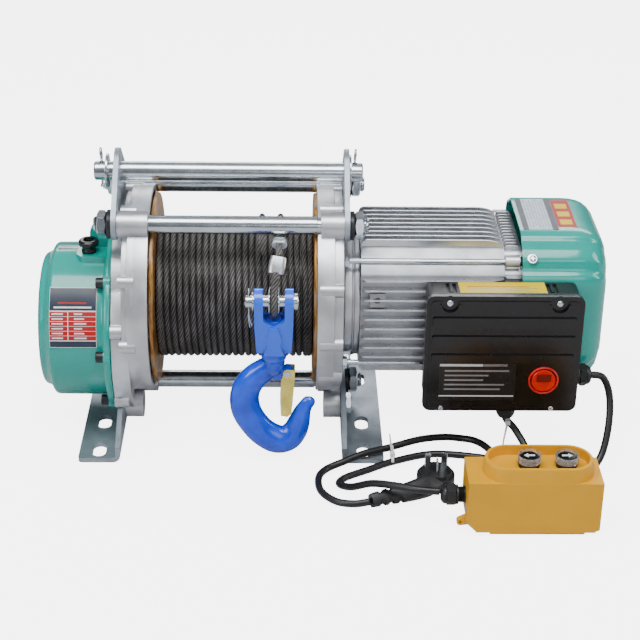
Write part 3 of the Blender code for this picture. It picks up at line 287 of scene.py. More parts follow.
def drum_steel():
    """Brown primer that has rubbed to bare metal in places, with streaks that run round the flange."""
    graph = Graph("drum_primer")
    shader = graph.shader
    streak = graph.noise(70, 6.0, (8, 1, 1))
    base = graph.ramp(streak, 0.38, 0.66, (0.20, 0.08, 0.016), (0.52, 0.27, 0.07))
    rubbed = graph.ramp(graph.noise(25, 6.0), 0.56, 0.72, (0, 0, 0), (0.6, 0.6, 0.6))
    graph.link(graph.mix(rubbed, base, (0.45, 0.38, 0.32)), shader.inputs["Base Color"])
    shader.inputs["Metallic"].default_value = 0.45
    graph.link(graph.span(streak, 0.3, 0.55), shader.inputs["Roughness"])
    graph.bump(streak, 0.2, 0.2)
    return graph.material


CAST = surface("cast_aluminium_fine", (0.66, 0.67, 0.70), 0.40, 1.0, patch=(35, 0.86, 1.12),
               grain=(1500, 0.3, 0.08))
SATIN = surface("satin_aluminium", (0.68, 0.70, 0.73), 0.30, 1.0, patch=(60, 0.9, 1.08),
                grain=(2500, 0.08, 0.02))
ZINC = surface("bright_zinc", (0.64, 0.70, 0.75), 0.20, 1.0, patch=(50, 0.88, 1.1),
               grain=(1800, 0.08, 0.02))
ZINC_SHEET = surface("dull_zinc_sheet", (0.36, 0.41, 0.46), 0.46, 0.8, patch=(40, 0.8, 1.15),
                     grain=(900, 0.15, 0.05))
# A darker copy of the cast aluminium: painted shade for the motor's skin between the fins.
CAST_SHADE = surface("cast_aluminium_shaded", (0.40, 0.41, 0.44), 0.42, 1.0, patch=(35, 0.8, 1.12),
                     grain=(1500, 0.2, 0.06))
STEEL = surface("oiled_steel", (0.40, 0.40, 0.41), 0.32, 1.0, patch=(60, 0.7, 1.15))
BLACK_OXIDE = surface("black_oxide_screw", (0.035, 0.036, 0.04), 0.36, 0.6, patch=(90, 0.7, 1.3))
TEAL = surface("teal_paint", (0.0, 0.34, 0.285), 0.22, 0.0, 0.5, patch=(9, 0.94, 1.05),
               grain=(420, 0.04, 0.06))
BLUE = surface("blue_paint_gloss", (0.0, 0.058, 0.72), 0.20, 0.0, 0.5, patch=(50, 0.8, 1.15),
               grain=(300, 0.2, 0.25), wear=(0.02, 0.14, 0.85))
BLACK = surface("moulded_black", (0.008, 0.0085, 0.010), 0.40, 0.0, 0.0, patch=(60, 0.8, 1.2),
                grain=(2400, 0.25, 0.05))
BLACK_GLOSS = surface("glossy_black", (0.004, 0.004, 0.005), 0.24, 0.0, 0.0, patch=(50, 0.8, 1.2),
                      grain=(900, 0.04, 0.01))
RUBBER = surface("cable_sheath", (0.008, 0.008, 0.010), 0.36, 0.0, 0.0, patch=(80, 0.75, 1.3),
                 grain=(1200, 0.15, 0.04))
YELLOW = surface("yellow_shell", (0.74, 0.36, 0.0), 0.45, 0.0, 0.0, patch=(30, 0.96, 1.03),
                 grain=(1500, 0.12, 0.04))
CHROMATE = surface("yellow_chromate", (0.82, 0.68, 0.16), 0.30, 0.7, patch=(60, 0.8, 1.15),
                   grain=(1200, 0.12, 0.03))
WHITE = surface("white_nylon", (0.80, 0.80, 0.78), 0.35, patch=(60, 0.94, 1.03))
PRIMER = drum_steel()
STRANDS = rope_material("rope_strands")
# The rope on the drum gets painted shade in the gaps between its turns.
DRUM_STRANDS = rope_material("rope_strands_on_drum", (PACK_HIGH.z - PACK_LOW.z) / 2 - ROPE_D / 2 + 1.5)
LABEL_DARK = surface("label_slate", (0.02, 0.03, 0.055), 0.35, patch=(40, 0.9, 1.1))
LABEL_RED = surface("label_red", (0.42, 0.003, 0.004), 0.45, patch=(40, 0.92, 1.06))
LABEL_WHITE = surface("label_white", (0.78, 0.79, 0.80), 0.35, patch=(40, 0.95, 1.03))
LABEL_GREY = surface("label_grey", (0.30, 0.31, 0.33), 0.3, 0.5, patch=(40, 0.92, 1.06))
LABEL_YELLOW = surface("label_yellow", (0.75, 0.55, 0.0), 0.5, patch=(40, 0.95, 1.03))
LABEL_BLACK = surface("label_black", (0.01, 0.01, 0.012), 0.3, patch=(40, 0.9, 1.1))
LABEL_PALE = surface("label_pale", (0.46, 0.56, 0.68), 0.35, patch=(140, 0.8, 1.1))
RED_MARK = surface("dark_red_mark", (0.16, 0.004, 0.004), 0.3, patch=(60, 0.8, 1.1))
CAPACITOR = surface("capacitor_cream", (0.70, 0.68, 0.60), 0.4, patch=(60, 0.95, 1.03))
COPPER = surface("varnished_copper", (0.50, 0.17, 0.05), 0.35, 0.9, patch=(60, 0.8, 1.1),
                 grain=(500, 0.4, 0.3))


def clear_plastic(name, colour, weight):
    """Tinted see-through plastic with a faint swirl in its tone."""
    graph = Graph(name)
    shader = graph.shader
    swirl = graph.noise(60, 3.0)
    graph.link(graph.ramp(swirl, 0.3, 0.7, tone(colour, 0.85), tone(colour, 1.1)),
               shader.inputs["Base Color"])
    shader.inputs["Roughness"].default_value = 0.08
    shader.inputs["Transmission Weight"].default_value = weight
    shader.inputs["Coat Weight"].default_value = 0.5
    graph.bump(graph.noise(500, 2.0), 0.04, 0.05)
    return graph.material


RED_LENS = clear_plastic("red_switch", (0.85, 0.012, 0.008), 0.25)
CLEAR_CAP = clear_plastic("clear_button_cap", (0.86, 0.88, 0.88), 0.8)


# --- mesh helpers --------------------------------------------------------------------------------


def place(name, mesh, look, body="frame", stands_for=(), bevel=0.0, smooth=35, segments=3):
    """Puts a world-space mesh in the scene and lets it ride on a CAD body."""
    obj = bpy.data.objects.new(name, mesh)
    bpy.context.scene.collection.objects.link(obj)
    mesh.materials.clear()
    if look:
        mesh.materials.append(look)
    mesh.shade_smooth()
    mesh.set_sharp_from_angle(angle=math.radians(smooth))
    if bevel:
        soften(obj, bevel, segments)
    if body:
        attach(obj, body)
    if stands_for:
        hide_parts(*stands_for)
    return obj


def soften(obj, width, segments=3):
    """Adds a rounding of the sharp edges, in millimetres."""
    step = obj.modifiers.new("edges", "BEVEL")
    step.width = width * MM
    step.segments = segments
    step.limit_method = "ANGLE"
    step.angle_limit = math.radians(SHARP_ANGLE)
    step.harden_normals = True


def field(name, low, high, depth, look, plane="XZ"):
    """A thin plain rectangle from corner to corner, for labels and the bars that stand for lettering."""
    outline = [low, (high[0], low[1]), high, (low[0], high[1])]
    place(name, plate_mesh(name, [outline], *depth, plane), look)


def mesh_from(bm, name):
    """A world-space mesh from a bmesh in hoist millimetres."""
    bmesh.ops.transform(bm, matrix=TO_WORLD, verts=bm.verts)
    bmesh.ops.recalc_face_normals(bm, faces=bm.faces)
    mesh = bpy.data.meshes.new(name)
    bm.to_mesh(mesh)
    bm.free()
    return mesh


def loft(rings, name, closed=False, uv=None):
    """Skins a list of equal rings of points. uv gives (per-lobe u step, v of each ring)."""
    bm = bmesh.new()
    layer = bm.loops.layers.uv.new("UVMap") if uv else None
    verts = [[bm.verts.new(point) for point in ring] for ring in rings]
    count = len(rings[0])
    pairs = list(zip(range(len(verts) - 1), range(1, len(verts))))
    if closed:
        pairs.append((len(verts) - 1, 0))
    for low, high in pairs:
        for index in range(count):
            nxt = (index + 1) % count
            face = bm.faces.new((verts[low][index], verts[low][nxt], verts[high][nxt], verts[high][index]))
            if layer:
                for loop, (ring, column) in zip(face.loops,
                                                ((low, index), (low, index + 1), (high, index + 1),
                                                 (high, index))):
                    loop[layer].uv = (column * uv[0], uv[1][ring])
    if not closed:
        bm.faces.new(verts[0][::-1])
        bm.faces.new(verts[-1])
    return mesh_from(bm, name)


def turned_mesh(name, profile, axis_point=(0, 0, 0), along="X", steps=96):
    """A turned solid: closed profile of (radius, position) points, on-axis ends allowed."""
    centre = Vector(axis_point)
    bm = bmesh.new()
    rings = []
    for radius, position in profile:
        ring = []
        for step in range(steps if radius > 1e-6 else 1):
            angle = 2 * math.pi * step / steps
            a = radius * math.cos(angle)
            b = radius * math.sin(angle)
            offset = {"X": (position, a, b), "Y": (a, position, b), "Z": (a, b, position)}[along]
            ring.append(bm.verts.new(centre + Vector(offset)))
        rings.append(ring)
    for first, second in zip(rings, rings[1:] + rings[:1]):
        for step in range(steps):
            nxt = (step + 1) % steps
            corners = [first[step % len(first)], first[nxt % len(first)], second[nxt % len(second)],
                       second[step % len(second)]]
            unique = list(dict.fromkeys(corners))
            if len(unique) > 2:
                bm.faces.new(unique)
    return mesh_from(bm, name)


def rounded(profile, radius, steps=3):
    """Rounds the corners of an open or closed (radius, position) profile, on-axis points left alone."""
    result = []
    count = len(profile)
    for index, point in enumerate(profile):
        here = Vector(point)
        before = Vector(profile[index - 1])
        after = Vector(profile[(index + 1) % count])
        reach = min(radius, (before - here).length / 2.2, (after - here).length / 2.2)
        if point[0] < 1e-6 or reach < 0.05:
            result.append(tuple(here))
            continue
        start = here + (before - here).normalized() * reach
        end = here + (after - here).normalized() * reach
        for step in range(steps + 1):
            t = step / steps
            result.append(tuple(start * (1 - t) ** 2 + here * 2 * t * (1 - t) + end * t * t))
    return result


def cylinder_mesh(name, start, end, radius, steps=48, turn=0.0):
    start = Vector(start)
    end = Vector(end)
    along = end - start
    spin = Vector((0, 0, 1)).rotation_difference(along).to_matrix().to_4x4()
    bm = bmesh.new()
    seat = Matrix.Translation((start + end) / 2) @ spin @ Matrix.Rotation(turn, 4, "Z")
    bmesh.ops.create_cone(bm, cap_ends=True, segments=steps, radius1=radius, radius2=radius,
                          depth=along.length, matrix=seat)
    return mesh_from(bm, name)


def box_mesh(name, low, high):
    low = Vector(low)
    high = Vector(high)
    bm = bmesh.new()
    stretch = Matrix.Diagonal((*(high - low), 1.0))
    bmesh.ops.create_cube(bm, size=1.0, matrix=Matrix.Translation((low + high) / 2) @ stretch)
    return mesh_from(bm, name)


def plate_mesh(name, outlines, low, high, plane):
    """A plate between two positions along its normal. The first outline is the edge, the others are holes.

    The plane YZ reads outline points as (y, z) with the normal along x, XZ as (x, z), XY as (x, y).
    """
    curve = bpy.data.curves.new(name, "CURVE")
    curve.dimensions = "2D"
    curve.fill_mode = "BOTH"
    curve.extrude = (high - low) / 2
    for outline in outlines:
        spline = curve.splines.new("POLY")
        spline.points.add(len(outline) - 1)
        for point, (u, v) in zip(spline.points, outline):
            point.co = (u, v, 0, 1)
        spline.use_cyclic_u = True
    draft = bpy.data.objects.new(name, curve)
    bpy.context.scene.collection.objects.link(draft)
    mesh = bpy.data.meshes.new_from_object(draft.evaluated_get(bpy.context.evaluated_depsgraph_get()))
    bpy.data.objects.remove(draft)
    middle = (high + low) / 2
    turns = {
        "YZ": Matrix(((0, 0, 1, middle), (1, 0, 0, 0), (0, 1, 0, 0), (0, 0, 0, 1))),
        "XZ": Matrix(((1, 0, 0, 0), (0, 0, -1, middle), (0, 1, 0, 0), (0, 0, 0, 1))),
        "XY": Matrix(((1, 0, 0, 0), (0, 1, 0, 0), (0, 0, 1, middle), (0, 0, 0, 1))),
    }
    bm = bmesh.new()
    bm.from_mesh(mesh)
    bpy.data.meshes.remove(mesh)
    bmesh.ops.remove_doubles(bm, verts=bm.verts, dist=0.001)
    bmesh.ops.transform(bm, matrix=turns[plane], verts=bm.verts)
    return mesh_from(bm, name)


def merge(base, *changes):
    """Applies (sign, mesh) Boolean steps to a mesh: + adds, - cuts away and & keeps the overlap."""
    obj = bpy.data.objects.new("draft", base)
    bpy.context.scene.collection.objects.link(obj)
    helpers = []
    for sign, mesh in changes:
        tool = bpy.data.objects.new("tool", mesh)
        bpy.context.scene.collection.objects.link(tool)
        helpers.append(tool)
        step = obj.modifiers.new("step", "BOOLEAN")
        step.operation = {"+": "UNION", "-": "DIFFERENCE", "&": "INTERSECT"}[sign]
        step.solver = "EXACT"
        step.object = tool
    mesh = bpy.data.meshes.new_from_object(obj.evaluated_get(bpy.context.evaluated_depsgraph_get()))
    for item in (*helpers, obj):
        bpy.data.objects.remove(item)
    return mesh


def joined(name, meshes):
    """One mesh that holds several loose ones, such as a row of screws."""
    bm = bmesh.new()
    for mesh in meshes:
        bm.from_mesh(mesh)
    mesh = bpy.data.meshes.new(name)
    bm.to_mesh(mesh)
    bm.free()
    return mesh


def arc(centre, radius, first, last, count):
    angles = [math.radians(first + (last - first) * step / (count - 1)) for step in range(count)]
    return [(centre[0] + radius * math.cos(a), centre[1] + radius * math.sin(a)) for a in angles]


def circle(centre, radius, count=64):
    return arc(centre, radius, 0, 360 - 360 / count, count)


def rounded_box(low, high, radius, count=8):
    """A rectangle outline with round corners."""
    corners = ((high[0] - radius, high[1] - radius, 0), (low[0] + radius, high[1] - radius, 90),
               (low[0] + radius, low[1] + radius, 180), (high[0] - radius, low[1] + radius, 270))
    return [p for x, y, start in corners for p in arc((x, y), radius, start, start + 90, count)]


def hull(circles, count=96):
    """The outline of a belt stretched round circles given as (centre, radius)."""
    points = sorted(p for centre, radius in circles for p in circle(centre, radius, count))

    def chain(ordered):
        kept = []
        for p in ordered:
            while len(kept) > 1:
                (ax, ay), (bx, by) = kept[-2:]
                if (bx - ax) * (p[1] - ay) - (by - ay) * (p[0] - ax) > 1e-6:
                    break
                kept.pop()
            kept.append(p)
        return kept[:-1]

    return chain(points) + chain(points[::-1])


def through(points, per_span=10):
    """Points along a smooth Catmull-Rom line through the given points."""
    ends = [points[0], *points, points[-1]]
    found = []
    for index in range(len(points) - 1):
        a, b, c, d = (Vector(p) for p in ends[index : index + 4])
        for step in range(per_span):
            t = step / per_span
            found.append(0.5 * (2 * b + (c - a) * t + (2 * a - 5 * b + 4 * c - d) * t * t
                                + (3 * b - a - 3 * c + d) * t**3))
    return [*found, Vector(points[-1])]


def sweep(name, path, section, uv=None):
    """Sweeps section(index, share) -> list of (side, up) offsets along a path, without twisting."""
    count = len(path)
    tangents = []
    for index in range(count):
        before = path[max(index - 1, 0)]
        after = path[min(index + 1, count - 1)]
        tangents.append((after - before).normalized())
    side = tangents[0].orthogonal().normalized()
    rings = []
    for index, point in enumerate(path):
        tangent = tangents[index]
        side = (side - tangent * side.dot(tangent)).normalized()
        up = tangent.cross(side)
        rings.append([point + side * u + up * v for u, v in section(index, index / (count - 1))])
    return loft(rings, name, uv=uv)


def tube_mesh(name, path, radius, steps=20):
    ring = circle((0, 0), radius, steps)
    return sweep(name, path, lambda index, share: ring)


def resample(path, spacing):
    """The same line with points at even spacing."""
    lengths = [0.0]
    for a, b in zip(path, path[1:]):
        lengths.append(lengths[-1] + (b - a).length)
    count = max(2, round(lengths[-1] / spacing))
    result = []
    index = 0
    for step in range(count + 1):
        target = lengths[-1] * step / count
        while index < len(lengths) - 2 and lengths[index + 1] < target:
            index += 1
        span = lengths[index + 1] - lengths[index]
        t = (target - lengths[index]) / span if span else 0
        result.append(path[index].lerp(path[index + 1], t))
    return result


def rope_mesh(name, path, radius=ROPE_D / 2, lay=36.0, spacing=2.6, per_strand=4):
    """A six-strand rope along a path: a lobed section that turns once per lay."""
    path = resample(path, spacing)
    spacing = (path[1] - path[0]).length
    columns = 6 * per_strand
    shape = []
    for column in range(columns):
        off = (column % per_strand) / per_strand * 60 - 30
        crown = 2 / 3 * radius * math.cos(math.radians(off))
        reach = (radius / 3) ** 2 - (2 / 3 * radius * math.sin(math.radians(off))) ** 2
        shape.append(max(0.76 * radius, crown + math.sqrt(max(0.0, reach))))

    def section(index, share):
        turn = 2 * math.pi * index * spacing / lay
        points = []
        for column, size in enumerate(shape):
            angle = turn + 2 * math.pi * column / columns
            points.append((size * math.cos(angle), size * math.sin(angle)))
        return points

    marks = [index * spacing / lay for index in range(len(path))]
    return sweep(name, path, section, uv=(1 / per_strand, marks))


# --- end frames ----------------------------------------------------------------------------------


def hole_x(y, z, radius, low=-400, high=400, steps=32):
    return cylinder_mesh("hole", (low, y, z), (high, y, z), radius, steps=steps)


def ring_x(name, inner, outer, low, high, centre_z=None, steps=128, edge=0.8):
    profile = [(outer, high), (outer, low), (inner, low), (inner, high)]
    return turned_mesh(name, rounded(profile, edge), (0, 0, AXIS_Z if centre_z is None else centre_z),
                       steps=steps)


def studs(name, low, high, places, radius, steps=32):
    """Union steps for equal bosses along x, one at each (y, z) place."""
    return [("+", cylinder_mesh(name, (low, y, z), (high, y, z), radius, steps=steps)) for y, z in places]


def round_places(radius, centre_z, angles):
    """(y, z) places on a circle round the x axis; angles are in degrees from the top."""
    turns = [math.radians(angle) for angle in angles]
    return [(radius * math.sin(turn), centre_z + radius * math.cos(turn)) for turn in turns]


def tie_bosses(low, high):
    """Round bosses for the tie rods."""
    return studs("boss", low, high, [(rod.y, rod.z) for rod in RODS.values()], 13.0, 64)


def left_frame():
    guard_high = LEFT_HIGH.x
    face = -113.1
    flange = turned_mesh("flange",
                         rounded([(0, -103.5), (93, -103.5), (93, LEFT_LOW.x), (0, LEFT_LOW.x)][::-1],
                                 1.2), (0, 0, GEARCASE_Z))
    steps = [("+", ring_x("guard", 30, 105, -103.5, -97.0)),
             ("+", ring_x("guard_rim", 99.8, 105, -98.0, guard_high)),
             ("+", ring_x("step", 60, 99, -109.0, -102.0)),
             ("+", cylinder_mesh("lobe", (LEFT_LOW.x, 0, AXIS_Z), (-101.5, 0, AXIS_Z), 73, steps=96)),
             *tie_bosses(guard_high - 0.3, face)]
    steps += studs("boss", -95, face, FOOT_BOSSES, 15, 48)
    steps += studs("lug", -111.5, -96, round_places(101, AXIS_Z, (-62, -18, 18, 62, 100, 260)), 6.5)
    steps += studs("ear", LEFT_LOW.x, -107, round_places(92, GEARCASE_Z, (-72, 72, 128, -128)), 7.5)
    steps += [("-", hole_x(0, AXIS_Z, 26.3, -105.9, -70)), ("-", hole_x(0, AXIS_Z, 19, -130, -70)),
              ("-", box_mesh("foot_slot", (-118.7, -78, -10), (-113.1, 78, 51)))]
    for name in UPPER:
        steps.append(("-", hole_x(RODS[name].y, RODS[name].z, TIE_HOLE_R, -130, -60)))
    mesh = merge(flange, *steps)
    place("left_frame_casting", mesh, CAST, stands_for=("left_end_frame",), bevel=0.7, segments=2)


def right_frame():
    low = RIGHT_LOW.x
    face = RIGHT_HIGH.x
    web = turned_mesh("web", rounded([(101, face), (101, 96), (30, 96), (30, face)], 1.0), (0, 0, AXIS_Z))
    steps = [("+", ring_x("guard", 99.8, 105, low, 98.5)),
             ("+", ring_x("outer", 26.3, 38, 91, 97)),
             ("+", ring_x("hub", 19, 34, 96.5, face)),
             ("+", box_mesh("foot_web", (96.5, -42, 14), (face - 0.2, 42, 62))), *tie_bosses(84.8, face)]
    steps += studs("boss", 90, face, FOOT_BOSSES, 15, 48)
    steps += studs("lug", 84, face - 0.5,
                   round_places(100, AXIS_Z, (-66, -15, 15, 66, 98, 262, 125, 235)), 6.8)
    steps += studs("bolt_ear", 94, face + 0.6, BOLT_PLACES, 8.5, 40)
    steps.append(("-", hole_x(0, AXIS_Z, 98.6, 60, 84.5, 128)))
    for rod in RODS.values():
        steps.append(("-", hole_x(rod.y, rod.z, TIE_HOLE_R, 60, 130)))
    steps.append(("-", hole_x(0, AXIS_Z, 26.3, 60, 104.8)))
    mesh = merge(web, *steps)
    place("right_frame_casting", mesh, CAST, stands_for=("right_end_frame",), bevel=0.7, segments=2)


# --- rods, nuts, plates and feet -----------------------------------------------------------------


def threaded_profile(radius, start, end, pitch=2.0):
    """Profile points of a threaded stretch, as close V grooves."""
    points = []
    count = int(abs(end - start) / pitch)
    step = (end - start) / count
    for index in range(count):
        points.append((radius - 1.0, start + step * index))
        points.append((radius, start + step * (index + 0.5)))
    points.append((radius - 1.0, end))
    return points


def tie_rods():
    body_low = LEFT_HIGH.x + 0.3
    body_high = RIGHT_LOW.x - 0.3
    for name, rod in RODS.items():
        low, high = box_of(name + "_tie_rod")
        left = -100.0 if name == "lower" else low.x
        profile = [(0, high.x), (6.6, high.x), *threaded_profile(8.0, high.x - 1.2, 108),
                   (8.0, body_high), (8.6, body_high), (9.0, body_high - 0.4), (9.0, body_low + 0.4),
                   (8.6, body_low), (8.0, body_low)]
        if name == "lower":
            profile += [(8.0, left), (0, left)]
        else:
            profile += [*threaded_profile(8.0, -113, left + 1.2), (6.6, left), (0, left)]
        mesh = turned_mesh(name + "_rod", profile, (0, rod.y, rod.z), steps=40)
        place(name + "_rod", mesh, ZINC, stands_for=(name + "_tie_rod",), smooth=28)


def nut_mesh(y, z, low, high, flats=24.0, bore=8.3, turn=0.0):
    """A hex nut along x with both faces chamfered."""
    corner = flats / 2 / math.cos(math.pi / 6)
    cut = (corner - flats / 2) * 1.15
    body = cylinder_mesh("nut", (low, y, z), (high, y, z), corner, steps=6, turn=turn)
    rim = [(corner + 0.3, high - cut), (corner + 0.3, low + cut), (corner - cut - 0.9, low - 0.01),
           (bore, low - 0.01), (bore, high + 0.01), (corner - cut - 0.9, high + 0.01)]
    keep = turned_mesh("keep", rim, (0, y, z), steps=64)
    return merge(body, ("&", keep))


def nuts_and_washers():
    for name, rod in RODS.items():
        for side in ("left", "right"):
            if name == "lower" and side == "left":
                continue
            node = f"{name}_{side}_nut"
            low, high = box_of(node)
            turn = {"upper_front": 0.2, "upper_rear": 0.55, "lower": 0.35}[name]
            mesh = nut_mesh(rod.y, rod.z, low.x, high.x, turn=turn)
            place(node + "_hex", mesh, ZINC, stands_for=(node,), bevel=0.25, segments=2)
            inner, outer = (high.x + 0.1, high.x + 4.4) if side == "left" else (low.x - 4.4, low.x - 0.1)
            washer = ring_x(node, 8.6, 14.2, inner, outer, rod.z, steps=64, edge=0.9)
            washer.transform(Matrix.Translation((0, rod.y * MM, 0)))
            place(f"{name}_{side}_washer", washer, BLACK_OXIDE)


def suspension():
    low, high = box_of("suspension_rod")
    bar = turned_mesh("bar",
                      [(0, high.x), (8.2, high.x), (9.5, high.x - 1.3), (9.5, low.x + 1.3), (8.2, low.x),
                       (0, low.x)], (0, BAR.y, BAR.z), steps=64)
    cuts = []
    for side in ("left", "right"):
        pin = middle_of(side + "_split_pin")
        cuts.append(("-", cylinder_mesh("hole", (pin.x, 0, BAR.z - 20), (pin.x, 0, BAR.z + 20), 2.6,
                                        steps=20)))
    place("suspension_bar", merge(bar, *cuts), ZINC, stands_for=("suspension_rod",))
    lower = [(RODS[name].y, RODS[name].z) for name in UPPER]
    outline = hull([((BAR.y, BAR.z), 23.0), (lower[0], 15.5), (lower[1], 15.5)])
    holes = [circle((BAR.y, BAR.z), 9.9, 48), circle(lower[0], TIE_HOLE_R, 32),
             circle(lower[1], TIE_HOLE_R, 32)]
    for side in ("left", "right"):
        node = side + "_suspension_plate"
        near, far = box_of(node)
        mesh = plate_mesh(node, [outline, *holes], near.x, far.x, "YZ")
        place(side + "_hanger", mesh, ZINC_SHEET, stands_for=(node,), bevel=1.1)
    left_face = box_of("left_suspension_plate")[0].x
    right_face = box_of("right_suspension_plate")[1].x
    for side, start, end in (("left", left_face - 9.0, left_face - 6.6),
                             ("right", right_face + 0.4, right_face + 2.4)):
        place(side + "_bar_washer", ring_x("washer", 9.9, 17.0, start, end, BAR.z, steps=72, edge=0.5),
              ZINC)
    for side, lean in (("left", -1), ("right", 1)):
        pin = middle_of(side + "_split_pin")
        legs = []
        for sign in (-1, 1):
            flare = sign * 3.2
            path = through([(pin.x + lean * 0.6, sign * 3.4, BAR.z + 20),
                            (pin.x, sign * 3.6, BAR.z + 15.5), (pin.x, sign * 1.15, BAR.z + 11.0),
                            (pin.x, sign * 1.15, BAR.z), (pin.x, sign * 1.15, BAR.z - 11),
                            (pin.x + lean * flare * 0.6, flare, BAR.z - 18)], 6)
            legs.append(tube_mesh("leg", path, 1.15, 14))
        eye = [Vector((pin.x + lean * 0.6, 3.4 * math.sin(a), BAR.z + 20 + 3.4 * math.cos(a)))
               for a in [math.pi / 2 - math.pi * k / 10 for k in range(11)]]
        legs.append(tube_mesh("eye", eye, 1.15, 14))
        place(side + "_split_pin_wire", joined("split", legs), ZINC, stands_for=(side + "_split_pin",))


def foot(side):
    """A bent foot with a true bend radius, sloping shoulders and slotted holes."""
    node = side + "_foot"
    low, high = box_of(node)
    outward = -1 if side == "left" else 1
    wall = high.x if side == "left" else low.x
    far = low.x if side == "left" else high.x
    thick = 5.0
    bend = 3.0
    section = [(wall, high.z)]
    centre = (wall + outward * (thick + bend), thick + bend)
    for step in range(9):
        a = math.pi + math.pi / 2 * step / 8
        section.append((centre[0] - outward * (thick + bend) * -math.cos(a),
                        centre[1] + (thick + bend) * math.sin(a)))
    section.append((far, 0))
    section.append((far, thick))
    for step in range(9):
        a = 1.5 * math.pi - math.pi / 2 * step / 8
        section.append((centre[0] - outward * bend * -math.cos(a), centre[1] + bend * math.sin(a)))
    section.append((wall + outward * thick, high.z))
    strip = plate_mesh("strip", [section], low.y, high.y, "XZ")
    cuts = []
    for sign in (-1, 1):
        wedge = [(sign * 140, 17), (sign * 118, 17), (sign * 64, high.z), (sign * 60, high.z + 20),
                 (sign * 140, 80)]
        cuts.append(("-", plate_mesh("wedge", [wedge], wall - 15, wall + 15, "YZ")))
    slot_x = (wall + far) / 2 + outward * 1.2
    for y in (-101.5, -46.5, 46.5, 101.5):
        ends = arc((slot_x, y + 6.25), 6.75, 0, 180, 17) + arc((slot_x, y - 6.25), 6.75, 180, 360, 17)
        cuts.append(("-", plate_mesh("slot", [ends], -5, 15, "XY")))
    for x, y in ((far, low.y), (far, high.y)):
        block = box_mesh("corner", (x - 4, y - 4, -5), (x + 4, y + 4, 15))
        keep_x = x - outward * 4
        keep_y = y + (4 if y < 0 else -4)
        cuts.append(("-", merge(block,
                                ("-", cylinder_mesh("round", (keep_x, keep_y, -9), (keep_x, keep_y, 19),
                                                    4, steps=48)))))
    if side == "right":
        cuts.append(("-", hole_x(RODS["lower"].y, RODS["lower"].z, TIE_HOLE_R, 90, 130)))
    place(side + "_bent_foot", merge(strip, *cuts), ZINC_SHEET, stands_for=(node,), bevel=0.6, segments=2)


def foot_bolts():
    for node in ("front_foot_bolt", "rear_foot_bolt"):
        low, high = box_of(node)
        y = (low.y + high.y) / 2
        z = (low.z + high.z) / 2
        head = high.x - 6.4
        body = nut_mesh(y, z, head, high.x, flats=18, bore=2.4)
        shank = turned_mesh("shank",
                            [(0, head + 6.0), (3, head + 6.0), (5, head + 1), (5, low.x), (0, low.x)],
                            (0, y, z), steps=32)
        place(node + "_hex", joined(node, [body, shank]), ZINC, stands_for=(node,), bevel=0.2, segments=2)
        washer = ring_x("washer", 5.4, 10.6, head - 0.3, head - 0.1, z, steps=48, edge=0.05)
        washer.transform(Matrix.Translation((0, y * MM, 0)))
        place(node + "_washer", washer, BLACK_OXIDE)


# --- gear case -----------------------------------------------------------------------------------


def socket_screw(start, direction, head_r=5.0, head_t=6.0):
    """A socket cap screw head from its seat outwards, with its hexagon socket."""
    start = Vector(start)
    out = Vector(direction).normalized()
    top = start + out * head_t
    head = cylinder_mesh("head", start, top, head_r, steps=40)
    socket = cylinder_mesh("socket", top - out * 3.2, top + out, head_r * 0.56, steps=6)
    return merge(head, ("-", socket))


